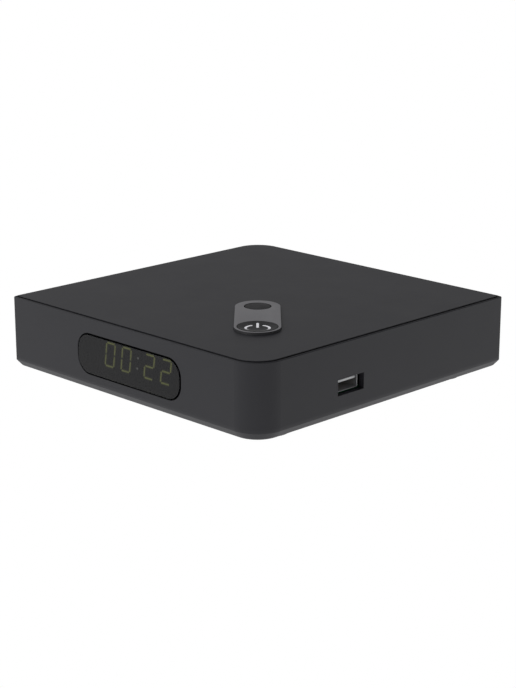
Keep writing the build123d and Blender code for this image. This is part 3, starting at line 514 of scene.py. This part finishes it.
class ReceiverSizes(bpy.types.PropertyGroup):
    """Sizes of the receiver's finished pieces"""

    lower_edge: length("Lower edge", "Radius of the tub's rounded lower edge", 5.1)
    round_corner: length("Round corner", "Radius of the tub's two round corners", 12.6)
    edge: length("Panel edge", "Radius of the raised panel's edge", 0.15)
    cap_edge: length("Button edge", "Radius of the button's rim", 0.25)
    button_hole: length("Button hole", "Radius of the panel's hole for the button", 8.45)
    lens_hole: length("Lens hole", "Radius of the panel's hole for the status lens", 5.8)
    sign_radius: length("Sign radius", "Outer radius of the standby sign's ring", 5.32)
    sign_stroke: length("Sign stroke", "Width of the standby sign's line", 0.98)
    digit_width: length("Digit width", "Width of a digit of the clock", 6.0)
    digit_height: length("Digit height", "Height of a digit of the clock", 10.75)
    digit_pitch: length("Digit pitch", "Distance between digits", 10.1)
    digit_stroke: length("Digit stroke", "Width of a lit segment", 0.62)
    thread_pitch: length("Thread pitch", "Pitch of the satellite inlets' thread", 0.794)


def looks():
    """The colours in use."""
    return bpy.context.scene.receiver_looks


def sizes():
    """The sizes in use."""
    return bpy.context.scene.receiver_sizes


# ---------------------------------------------------------------- operators
class RECEIVER_OT_housing(bpy.types.Operator):
    """Finish the moulded cover, and the tub with the flat band round its lower edge"""

    bl_idname = "receiver.housing"
    bl_label = "Housing"

    def execute(self, context):
        plastic = textured_abs()
        dress(plastic, "top_cover")
        bm = bmesh.new()
        bm.from_mesh(NODES["bottom_housing"].data)
        bmesh.ops.remove_doubles(bm, verts=bm.verts, dist=MERGE)
        flatten_lower_edge(bm)
        tub = keep("moulded_tub", bm, "housing", [plastic], ["bottom_housing"])
        tub.data.normals_split_custom_set(tub_normals(tub.data))
        return {"FINISHED"}


def place_in_corner(point, middle, reach):
    """Where a point stands from the middle of its round corner, or nothing where it stands in no such corner."""
    away = point - middle
    start = reach - sizes().round_corner
    x, y = abs(away.x) - start, abs(away.y) - start
    if away.x * away.y > 0 or min(x, y) <= 0:
        return None
    return Vector((math.copysign(x, away.x), math.copysign(y, away.y), 0))


def tub_normals(mesh):
    """The tub's own normals where a corner has kept its place, and the face's or the round corner's elsewhere."""
    low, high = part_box("bottom_housing")
    middle, reach = (low + high) / 2, (high.x - low.x) / 2
    source = NODES["bottom_housing"].data
    known = {}
    for corner, normal in zip(source.loops, source.corner_normals):
        key = tuple(round(c / MM, 2) for c in source.vertices[corner.vertex_index].co)
        known.setdefault(key, []).append(normal.vector.copy())
    normals = []
    for face in mesh.polygons:
        for number in face.vertices:
            point = mesh.vertices[number].co
            old = known.get(tuple(round(c / MM, 2) for c in point), [face.normal])
            best = max(old, key=face.normal.dot)
            if best.dot(face.normal) > ALIKE and len(old) > 1:
                normals.append(best)
                continue
            bent = face.normal.copy()
            spoke = place_in_corner(point, middle, reach)
            lies_flat = abs(face.normal.z) > 0.99
            if spoke and not lies_flat:
                level = spoke.normalized() * math.hypot(bent.x, bent.y)
                bent.x, bent.y = level.x, level.y
            normals.append(bent if bent.dot(face.normal) > ALIKE else face.normal)
    return normals


def flatten_lower_edge(bm):
    """Gives the tub's rounded lower edge a flat middle, so that it catches the light as one narrow band."""
    low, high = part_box("bottom_housing")
    middle, reach = (low + high) / 2, (high.x - low.x) / 2
    radius, corner = sizes().lower_edge, sizes().round_corner
    band_start, band_end = math.radians(17), math.radians(54)
    top, bottom = (low.z + radius * (1 - math.sin(angle)) for angle in (band_start, band_end))
    near = 0.2 * MM

    def curved(z):
        """How far the round edge lies inside the wall at that height."""
        drop = min(max(low.z + radius - z, 0.0), radius)
        return radius - math.sqrt(radius**2 - drop**2)

    def flat(z):
        """The same with the flat band."""
        if not bottom < z < top:
            return curved(z)
        return curved(top) + (curved(bottom) - curved(top)) * (top - z) / (top - bottom)

    for height in (top, bottom):
        skin_faces = [f for f in bm.faces if all(v.co.z < low.z + radius + 0.01 * MM for v in f.verts)]
        around = {g for f in skin_faces for g in (f, *f.edges, *f.verts)}
        bmesh.ops.bisect_plane(bm, geom=list(around), plane_co=(0, 0, height), plane_no=(0, 0, 1), dist=0.001 * MM)
    for vert in bm.verts:
        away = Vector((vert.co.x - middle.x, vert.co.y - middle.y))
        inside, wanted = curved(vert.co.z), flat(vert.co.z)
        if vert.co.z > low.z + radius or abs(wanted - inside) < 0.0001 * MM:
            continue
        spoke = place_in_corner(vert.co, middle, reach)
        if spoke:
            if abs(corner - spoke.length - inside) < near:
                vert.co += spoke.normalized() * (corner - wanted) - spoke
            continue
        if abs(reach - abs(away.x) - inside) < near:
            vert.co.x = middle.x + math.copysign(reach - wanted, away.x)
        if abs(reach - abs(away.y) - inside) < near:
            vert.co.y = middle.y + math.copysign(reach - wanted, away.y)


class RECEIVER_OT_panel(bpy.types.Operator):
    """Build the raised panel with soft edges round its two holes"""

    bl_idname = "receiver.control_panel"
    bl_label = "Control panel"

    def execute(self, context):
        low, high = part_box("control_bezel")
        bottom, top = low.z / MM, high.z / MM
        button, lens = middle_of("power_button"), middle_of("status_lens")
        middle = (button + lens) / 2
        half = math.hypot(button.x - lens.x, button.y - lens.y) / 2 / MM
        # The box of a stadium along the diagonal is as long as its straight part plus its width.
        across = ((high.x - low.x) / MM - 2 * half / math.sqrt(2)) / 2
        edge = sizes().edge / MM
        steps = [math.pi / 2 * i / 5 for i in range(6)]
        bm = bmesh.new()
        rims = []
        for centre, stretch, radius, side in (
            (0, half, across, -1),
            (half, 0, sizes().button_hole / MM, 1),
            (-half, 0, sizes().lens_hole / MM, 1),
        ):
            loops = [loop(bm, radius, stretch, bottom, centre)]
            for angle in steps:
                inset = edge * (1 - math.cos(angle))
                height = top - edge + edge * math.sin(angle)
                loops.append(loop(bm, radius + side * inset, stretch, height, centre))
            skin(bm, loops)
            rims.append((loops[0], loops[-1]))
        for level in (0, 1):
            bmesh.ops.triangle_fill(bm, edges=[e for rim in rims for e in rim[level]], use_beauty=True)
        place = Matrix.Translation((middle.x, middle.y, 0)) @ DIAGONAL
        bmesh.ops.transform(bm, matrix=place, verts=bm.verts)
        bmesh.ops.recalc_face_normals(bm, faces=bm.faces)
        # Only the top is lacquered: its sides and holes stay in the black of the moulding.
        paint(bm, 1, lambda face: face.normal.z < 0.5)
        black = moulded_nylon("charcoal_abs", linear("2e2e31"), 0.5)
        keep("control_panel", bm, "housing", [satin_lacquer(), black], ["control_bezel"])
        return {"FINISHED"}


class RECEIVER_OT_lens(bpy.types.Operator):
    """Build the status lens, a shallow dome in a dark seat"""

    bl_idname = "receiver.status_lens"
    bl_label = "Status lens"

    def execute(self, context):
        low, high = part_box("status_lens")
        radius = (high.x - low.x) / 2 / MM
        bottom, top = low.z / MM, high.z / MM
        # The cap is a little smaller above its flange, which leaves a dark ring round it.
        cap, flange, shoulder, dome = radius - 0.25, bottom + 0.6, bottom + 0.7, 0.05
        outline = [(0, bottom), (radius, bottom), (radius, flange), (cap, shoulder), (cap, top), (0, top + dome)]
        bm = bmesh.new()
        middle = middle_of("status_lens")
        turn_profile(bm, soften(outline, {4: 0.12}), 64, Matrix.Translation((middle.x, middle.y, 0)))
        material = polished_abs("tinted_lens", linear("18181a"), 0.45, 0.15)
        keep("status_lens_cap", bm, "housing", [material], ["status_lens"])
        return {"FINISHED"}


class RECEIVER_OT_button(bpy.types.Operator):
    """Build the dished push button with its stop flange and stem"""

    bl_idname = "receiver.power_button"
    bl_label = "Power button"

    def execute(self, context):
        middle = middle_of("power_button")
        bm = bmesh.new()
        turn_profile(bm, button_profile(), 96, Matrix.Translation((middle.x, middle.y, 0)))
        material = polished_abs("polished_cap", looks().button, 0.42, 0.15)
        keep("button_cap", bm, "power_button", [material], ["power_button"])
        return {"FINISHED"}


def dish_height(radius):
    """The height of the button's dish at that distance from its axis, in millimetres."""
    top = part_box("power_button")[1].z / MM
    rim, deep = 7.95, 0.5
    ball = (rim**2 + deep**2) / (2 * deep)
    return top - deep + ball - math.sqrt(ball**2 - radius**2)


def button_profile():
    """The button's section, from the middle of its dish round to the end of its stem."""
    low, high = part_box("power_button")
    bottom, top = low.z / MM, high.z / MM
    edge = sizes().cap_edge / MM
    cap, flange, hollow, stem = 8.25, 8.95, 7.05, 1.6
    flange_bottom, flange_top, ceiling = 32.7, 33.5, 34.0
    dish_end, steps = 7.6, 12
    dish = [(dish_end * i / steps, dish_height(dish_end * i / steps)) for i in range(steps + 1)]
    rest = [(cap, top), (cap, flange_top), (flange, flange_top), (flange, flange_bottom), (hollow, flange_bottom)]
    rest += [(hollow, ceiling), (stem, ceiling), (stem, bottom), (0, bottom)]
    rim = round_corner(rest[0], dish[-1], rest[1], edge)
    return dish + rim + rest[1:]


class RECEIVER_OT_sign(bpy.types.Operator):
    """Build the standby sign on the button's dish: an open ring with a bar"""

    bl_idname = "receiver.standby_sign"
    bl_label = "Standby sign"

    def execute(self, context):
        outer, stroke = sizes().sign_radius, sizes().sign_stroke
        radius, half = outer - stroke / 2, stroke / 2
        open_angle = math.radians(31)
        # The bar's two ends, how much wider than the ring it is, and how far the sign stands from the dish's middle.
        tip, foot, wider, shift = -7.35 * MM, -1.2 * MM, 1.05, 1.65 * MM
        raised, sunk = 0.02 * MM, 0.12 * MM
        bm = bmesh.new()
        # The ring is a short line swung round, with a half disc swung at each end.
        ends = [bm.verts.new((-(radius + side * half), 0, 0)) for side in (-1, 1)]
        across = bm.edges.new(ends)
        start = Matrix.Rotation(open_angle, 3, "Z")
        bmesh.ops.rotate(bm, verts=ends, cent=(0, 0, 0), matrix=start)
        bmesh.ops.spin(
            bm, geom=ends + [across], cent=(0, 0, 0), axis=(0, 0, 1), angle=TURN - 2 * open_angle, steps=64
        )
        for side in (-1, 1):
            end = Matrix.Rotation(side * open_angle, 3, "Z") @ Vector((-radius, 0, 0))
            cap = bmesh.ops.create_circle(bm, segments=20, radius=half, cap_ends=True)["verts"]
            bmesh.ops.translate(bm, verts=cap, vec=end)
        # The bar points to the far corner and ends in the ring's middle.
        for x in (tip + half, foot - half):
            cap = bmesh.ops.create_circle(bm, segments=20, radius=half * wider, cap_ends=True)["verts"]
            bmesh.ops.translate(bm, verts=cap, vec=(x, 0, 0))
        bar = bmesh.ops.create_grid(bm, x_segments=8, y_segments=2, size=0.5)["verts"]
        bmesh.ops.scale(bm, verts=bar, vec=(foot - tip - stroke, stroke * wider, 1))
        bmesh.ops.translate(bm, verts=bar, vec=((tip + foot) / 2, 0, 0))
        bmesh.ops.translate(bm, verts=bm.verts, vec=(shift, 0, 0))
        for vert in bm.verts:
            vert.co.z = dish_height(math.hypot(vert.co.x, vert.co.y) / MM) * MM + raised
        base = bmesh.ops.extrude_face_region(bm, geom=bm.faces[:])["geom"]
        lower = [v for v in base if isinstance(v, bmesh.types.BMVert)]
        bmesh.ops.translate(bm, verts=lower, vec=(0, 0, -sunk))
        middle = middle_of("power_button")
        place = Matrix.Translation((middle.x, middle.y, 0)) @ DIAGONAL
        bmesh.ops.transform(bm, matrix=place, verts=bm.verts)
        keep("standby_sign", bm, "power_button", [sign_with_painted_light()])
        return {"FINISHED"}


class RECEIVER_OT_display(bpy.types.Operator):
    """Finish the window and the display, and build its clock digits"""

    bl_idname = "receiver.clock_display"
    bl_label = "Clock display"

    def execute(self, context):
        dress(smoked_acrylic(), "display_window")
        dress(display_resin(), "display_module")
        dress(polished_abs("receiver_epoxy", linear("101012"), 0.25), "ir_receiver")
        for name, grow, lift, material in (
            # The first set is a painted glow on the resin round the segments, and the second is the lit segments
            # themselves.
            ("clock_painted_glow", 0.45, 0.02, segment_painted_glow()),
            ("clock_digits", 0.0, 0.05, lit_segment()),
        ):
            bm = bmesh.new()
            for place, digit in zip((-1.5, -0.5, 0.5, 1.5), ("abcdef", "abcdef", "abged", "abged")):
                shift = place * sizes().digit_pitch + math.copysign(PAIR_GAP, place)
                for segment in digit:
                    draw_segment(bm, segment, shift, grow * MM)
            stand_on_display(bm, lift)
            keep(name, bm, "housing", [material])
        bm = bmesh.new()
        dot_radius, dot_height = 0.5 * MM, 0.21
        for side in (-1, 1):
            dot = bmesh.ops.create_circle(bm, segments=24, radius=dot_radius, cap_ends=True)["verts"]
            tall = side * dot_height * sizes().digit_height
            bmesh.ops.translate(bm, verts=dot, vec=(tall * SLANT, tall, 0))
        stand_on_display(bm, 0.05)
        keep("clock_colon", bm, "housing", [dim_diffuser()])
        return {"FINISHED"}


def draw_segment(bm, segment, shift, grow):
    """Adds one slanted segment of a digit: a bar with pointed ends, a to g as on every seven-segment clock."""
    wide, tall = sizes().digit_width, sizes().digit_height
    stroke = sizes().digit_stroke
    x, y = (wide - stroke) / 2, (tall - stroke) / 2
    middle, level, span = {
        "a": ((0, y), True, 2 * x),
        "b": ((x, y / 2), False, y),
        "c": ((x, -y / 2), False, y),
        "d": ((0, -y), True, 2 * x),
        "e": ((-x, -y / 2), False, y),
        "f": ((-x, y / 2), False, y),
        "g": ((0, 0), True, 2 * x),
    }[segment]
    gap = 0.06 * MM
    bar = bmesh.ops.create_circle(bm, segments=6, radius=1.0, cap_ends=True)["verts"]
    bmesh.ops.rotate(bm, verts=bar, cent=(0, 0, 0), matrix=Matrix.Rotation(math.pi / 6, 3, "Z"))
    reach = span / 2 - gap + grow
    half = stroke / 2 + grow
    for vert in bar:
        tip = abs(vert.co.x) < 0.1
        along = math.copysign(reach if tip else reach - half, vert.co.y)
        across = 0.0 if tip else math.copysign(half, vert.co.x)
        vert.co = Vector((along, across, 0)) if level else Vector((across, along, 0))
    bmesh.ops.translate(bm, verts=bar, vec=(*middle, 0))
    for vert in bar:
        vert.co.x += vert.co.y * SLANT
    bmesh.ops.translate(bm, verts=bar, vec=(shift, 0, 0))


def stand_on_display(bm, lift):
    """Gives flat shapes a thickness and stands them on the display's face."""
    raised = bmesh.ops.extrude_face_region(bm, geom=bm.faces[:])["geom"]
    top = [v for v in raised if isinstance(v, bmesh.types.BMVert)]
    bmesh.ops.translate(bm, verts=top, vec=(0, 0, lift * MM))
    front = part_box("display_module")[0].y
    centre = middle_of("display_module")
    left, up = 0.3 * MM, 0.6 * MM
    place = Matrix.Translation((centre.x - left, front, centre.z + up))
    bmesh.ops.transform(bm, matrix=place @ Matrix.Rotation(math.pi / 2, 4, "X"), verts=bm.verts)


class RECEIVER_OT_usb(bpy.types.Operator):
    """Build the USB socket in the right wall: its folded shell and the tongue with its lead-in"""

    bl_idname = "receiver.usb_socket"
    bl_label = "USB socket"

    def execute(self, context):
        dress(plated_steel("gold_contact", linear("d3a94f"), 0.25), "usb_contacts")
        self.fold_shell()
        self.mould_tongue()
        return {"FINISHED"}

    def fold_shell(self):
        """The steel shell, whose rim is rounded and stands back from the wall's face."""
        low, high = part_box("usb_shell")
        wide, tall = (high.y - low.y) / 2 / MM, (high.z - low.z) / 2 / MM
        wall, radius, set_back, steps = 0.35, 0.6, 0.5, 6
        back, front = low.x / MM, high.x / MM - set_back
        bm = bmesh.new()
        sections = [(0.0, back)]
        for i in range(steps + 1):
            angle = math.pi * i / steps
            sections.append((wall / 2 * (1 - math.cos(angle)), front - wall / 2 * (1 - math.sin(angle))))
        sections.append((wall, back + wall))
        loops = [
            loop(bm, radius - inset, wide - radius, height, 0, 32, tall - radius) for inset, height in sections
        ]
        skin(bm, loops)
        for end in (loops[0], loops[-1]):
            bmesh.ops.triangle_fill(bm, edges=end, use_beauty=True)
        # X, Y and Z of the outlines become the object's Y, Z and X.
        turned = Matrix(((0, 0, 1, 0), (1, 0, 0, 0), (0, 1, 0, 0), (0, 0, 0, 1)))
        middle = middle_of("usb_shell")
        bmesh.ops.transform(bm, matrix=Matrix.Translation((0, middle.y, middle.z)) @ turned, verts=bm.verts)
        steel = plated_steel("tinned_steel", linear("a6a7a9"), 0.55)
        keep("usb_shell_folded", bm, "housing", [steel], ["usb_shell"])

    def mould_tongue(self):
        """The nylon block with its tongue, whose lower tip slopes to lead a plug in."""
        low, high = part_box("usb_tongue")
        block_length, tongue_height, lead_length, lead_height = 3.0, 1.2, 0.6, 0.45
        back, front, bottom, top = low.x / MM, high.x / MM, low.z / MM, high.z / MM
        step = (low.x + block_length * MM) / MM
        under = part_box("usb_contacts")[1].z / MM
        over = under + tongue_height
        outline = [(back, bottom), (step, bottom), (step, under), (front - lead_length, under)]
        outline += [(front, under + lead_height), (front, over), (step, over), (step, top), (back, top)]
        bm = bmesh.new()
        side = bm.faces.new([bm.verts.new((x * MM, low.y, z * MM)) for x, z in outline])
        block = bmesh.ops.extrude_face_region(bm, geom=[side])["geom"]
        far = [v for v in block if isinstance(v, bmesh.types.BMVert)]
        bmesh.ops.translate(bm, verts=far, vec=(0, high.y - low.y, 0))
        bmesh.ops.recalc_face_normals(bm, faces=bm.faces)
        bmesh.ops.bevel(
            bm, geom=bm.edges[:], offset=0.06 * MM, affect="EDGES", segments=2, profile=0.5, material=-1
        )
        nylon = moulded_nylon("white_nylon", linear("c6c8c9"), 0.4)
        keep("usb_tongue_led_in", bm, "housing", [nylon], ["usb_tongue"])


class RECEIVER_OT_inlets(bpy.types.Operator):
    """Build the two satellite inlets with their rolled thread"""

    bl_idname = "receiver.satellite_inlets"
    bl_label = "Satellite inlets"

    def execute(self, context):
        nickel = plated_steel("nickel_plate", linear("b9b6ae"), 0.22)
        dress(moulded_nylon("white_insulator", linear("dedcd4"), 0.45), "lnb_insulators")
        pitch = sizes().thread_pitch / MM
        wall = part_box("bottom_housing")[1].y / MM
        collar, neck, core, crest, mouth, bore = 6.0, 5.0, 4.3, 4.76, 4.0, 3.3
        collar_depth, floor, chamfer, plain_end, steps = 1.95, 1, 0.35, 0.45, 32
        for name in ("lnb_connector_1", "lnb_connector_2"):
            low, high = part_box(name)
            start, end = low.y / MM, high.y / MM
            outline = [(0, start), (collar, start), (collar, start + collar_depth), (neck, start + collar_depth)]
            outline += [(neck, wall), (core, wall), (core, end - chamfer), (mouth, end), (bore, end)]
            outline += [(bore, start + floor), (0, start + floor)]
            bm = bmesh.new()
            turn_profile(bm, outline, 48)
            # The thread is a pointed ridge swung round and along at once.
            turns = int((end - wall - plain_end) / pitch) - 1
            foot, root = wall + 0.1, core - 0.05
            ridge = [(root, foot), (crest, foot + pitch * 0.45), (crest, foot + pitch * 0.55), (root, foot + pitch)]
            line = [bm.verts.new((r * MM, 0, h * MM)) for r, h in ridge]
            geometry = line + [bm.edges.new(pair) for pair in zip(line, line[1:])]
            bmesh.ops.spin(
                bm,
                geom=geometry,
                cent=(0, 0, 0),
                axis=(0, 0, 1),
                dvec=(0, 0, pitch / steps * MM),
                angle=TURN * turns,
                steps=steps * turns,
            )
            middle = middle_of(name)
            place = Matrix.Translation((middle.x, 0, middle.z)) @ Matrix.Rotation(-math.pi / 2, 4, "X")
            bmesh.ops.transform(bm, matrix=place, verts=bm.verts)
            keep(name + "_threaded", bm, "housing", [nickel], [name])
        return {"FINISHED"}


class RECEIVER_OT_sockets(bpy.types.Operator):
    """Finish the network, video, sound and power sockets in the rear wall"""

    bl_idname = "receiver.rear_sockets"
    bl_label = "Rear sockets"

    def execute(self, context):
        steel = plated_steel("shield_steel", linear("a6a7a9"), 0.32)
        dress(steel, "ethernet_socket", "hdmi_shell", "tuner_frame", "tuner_cover", "crystal")
        black = moulded_nylon("black_nylon", linear("1b1b1c"), 0.5)
        dress(black, "av_jack", "dc_jack", "display_header", "hdmi_tongue")
        dress(plated_steel("contact_gold", linear("d3a94f"), 0.25), "ethernet_contacts")
        dress(plated_steel("pin_nickel", linear("b9b6ae"), 0.22), "dc_jack_pin")
        return {"FINISHED"}


class RECEIVER_OT_feet(bpy.types.Operator):
    """Build the four rubber feet with rounded rims and a shallow hollow below"""

    bl_idname = "receiver.feet"
    bl_label = "Feet"

    def execute(self, context):
        low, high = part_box("rubber_feet")
        radius, top = 9.0, high.z / MM
        tread, taper, hollow = radius - 2.4, radius - 0.2, 0.25
        outline = [(0, hollow), (tread, hollow), (tread, 0), (taper, 0), (radius, top), (0, top)]
        outline = soften(outline, {1: 0.12, 2: 0.12, 3: 0.6})
        bm = bmesh.new()
        for x in (low.x + radius * MM, high.x - radius * MM):
            for y in (low.y + radius * MM, high.y - radius * MM):
                turn_profile(bm, outline, 56, Matrix.Translation((x, y, 0)))
        keep("feet", bm, "housing", [moulded_rubber()], ["rubber_feet"])
        return {"FINISHED"}


class RECEIVER_OT_screws(bpy.types.Operator):
    """Finish the screws"""

    bl_idname = "receiver.screws"
    bl_label = "Screws"

    def execute(self, context):
        zinc = plated_steel("zinc_plate", linear("8f9196"), 0.35)
        dress(zinc, "case_screws", "board_screws", "key_board_screws")
        return {"FINISHED"}


class RECEIVER_OT_inside(bpy.types.Operator):
    """Finish the boards and what stands on them"""

    bl_idname = "receiver.inside"
    bl_label = "Boards"

    def execute(self, context):
        dress(solder_mask(), "main_board", "key_board", "display_board")
        chips = moulded_nylon("chip_epoxy", linear("1c1c1e"), 0.55)
        dress(chips, "processor", "memory_chips", "flash_chip", "demodulator_chip", "inductors", "tact_switch")
        dress(moulded_nylon("white_socket", linear("dcdad2"), 0.45), "key_board_socket", "main_board_socket")
        dress(extruded_aluminium(), "heatsink", "capacitors")
        dress(soft_silicone(), "thermal_pad")
        dress(ribbon_film(), "key_cable")
        dress(clear_resin(), "power_leds", "status_led", "button_light_guide", "switch_plunger")
        return {"FINISHED"}


class RECEIVER_OT_stage(bpy.types.Operator):
    """Set the pale floor, the soft studio light and the camera"""

    bl_idname = "receiver.stage"
    bl_label = "Stage"

    def execute(self, context):
        self.lay_floor(context.scene)
        self.hang_lamps(context.scene)
        self.set_camera(context.scene)
        return {"FINISHED"}

    def lay_floor(self, scene):
        """A wide white table that glows evenly, as a lit studio table does."""
        half_width = 12.0
        bm = bmesh.new()
        bmesh.ops.create_grid(bm, x_segments=1, y_segments=1, size=half_width)
        mesh = bpy.data.meshes.new("floor")
        bm.to_mesh(mesh)
        bm.free()
        floor = bpy.data.objects.new("floor", mesh)
        scene.collection.objects.link(floor)
        material, tree, shader, place = start_material("light_table")
        shader.inputs["Base Color"].default_value = (0, 0, 0, 1)
        shader.inputs["Roughness"].default_value = 1.0
        shader.inputs["Specular IOR Level"].default_value = 0.0
        shader.inputs["Emission Color"].default_value = (1, 1, 1, 1)
        shader.inputs["Emission Strength"].default_value = 1.0
        mesh.materials.append(material)

    def hang_lamps(self, scene):
        """A weak square lamp at the left, a stronger one in front, and a grey room round them."""
        for name, place, turn, size, power in (
            ("left", (-1.0, 0.0, 1.0), (0, math.radians(-45), 0), 0.8, 2.5),
            ("front", (-0.3, -1.3, 0.7), (math.radians(62), 0, math.radians(-13)), 0.8, 7.5),
        ):
            lamp = bpy.data.lights.new(name, "AREA")
            lamp.shape = "SQUARE"
            lamp.size = size
            lamp.energy = power
            light = bpy.data.objects.new(name, lamp)
            light.location = place
            light.rotation_euler = turn
            scene.collection.objects.link(light)
        world = bpy.data.worlds.new("studio")
        world.use_nodes = True
        scene.world = world
        sky = world.node_tree.nodes["Background"]
        sky.inputs["Color"].default_value = (0.36, 0.36, 0.365, 1)
        scene.view_settings.view_transform = "Standard"

    def set_camera(self, scene):
        """A long lens that looks at the round corner from a little above."""
        camera = bpy.data.cameras.new("camera")
        camera.lens = 89.05
        camera.sensor_width = 36.0
        camera.clip_start, camera.clip_end = 0.01, 60.0
        seat = bpy.data.objects.new("camera", camera)
        seat.location = (0.50610, -0.50915, 0.21798)
        seat.rotation_euler = (math.radians(73.962), 0, math.radians(45.082))
        scene.collection.objects.link(seat)
        scene.camera = seat


class RECEIVER_PT_panel(bpy.types.Panel):
    """Lists the receiver's sizes, colours and pieces"""

    bl_idname = "RECEIVER_PT_panel"
    bl_label = "Receiver"
    bl_space_type = "VIEW_3D"
    bl_region_type = "UI"
    bl_category = "Receiver"

    def draw(self, context):
        for group in (context.scene.receiver_sizes, context.scene.receiver_looks):
            for name in group.__annotations__:
                self.layout.prop(group, name)
        for operator in OPERATORS:
            self.layout.operator(operator.bl_idname)


OPERATORS = (
    RECEIVER_OT_housing,
    RECEIVER_OT_panel,
    RECEIVER_OT_lens,
    RECEIVER_OT_button,
    RECEIVER_OT_sign,
    RECEIVER_OT_display,
    RECEIVER_OT_usb,
    RECEIVER_OT_inlets,
    RECEIVER_OT_sockets,
    RECEIVER_OT_feet,
    RECEIVER_OT_screws,
    RECEIVER_OT_inside,
    RECEIVER_OT_stage,
)
CLASSES = (ReceiverLooks, ReceiverSizes, *OPERATORS, RECEIVER_PT_panel)


def register():
    for item in CLASSES:
        bpy.utils.register_class(item)
    bpy.types.Scene.receiver_looks = bpy.props.PointerProperty(type=ReceiverLooks)
    bpy.types.Scene.receiver_sizes = bpy.props.PointerProperty(type=ReceiverSizes)


def unregister():
    del bpy.types.Scene.receiver_sizes
    del bpy.types.Scene.receiver_looks
    for item in reversed(CLASSES):
        bpy.utils.unregister_class(item)


def main():
    """Builds every piece and the stage."""
    register()
    bpy.ops.receiver.housing()
    bpy.ops.receiver.control_panel()
    bpy.ops.receiver.status_lens()
    bpy.ops.receiver.power_button()
    bpy.ops.receiver.standby_sign()
    bpy.ops.receiver.clock_display()
    bpy.ops.receiver.usb_socket()
    bpy.ops.receiver.satellite_inlets()
    bpy.ops.receiver.rear_sockets()
    bpy.ops.receiver.feet()
    bpy.ops.receiver.screws()
    bpy.ops.receiver.inside()
    bpy.ops.receiver.stage()


if __name__ == "__main__":
    main()
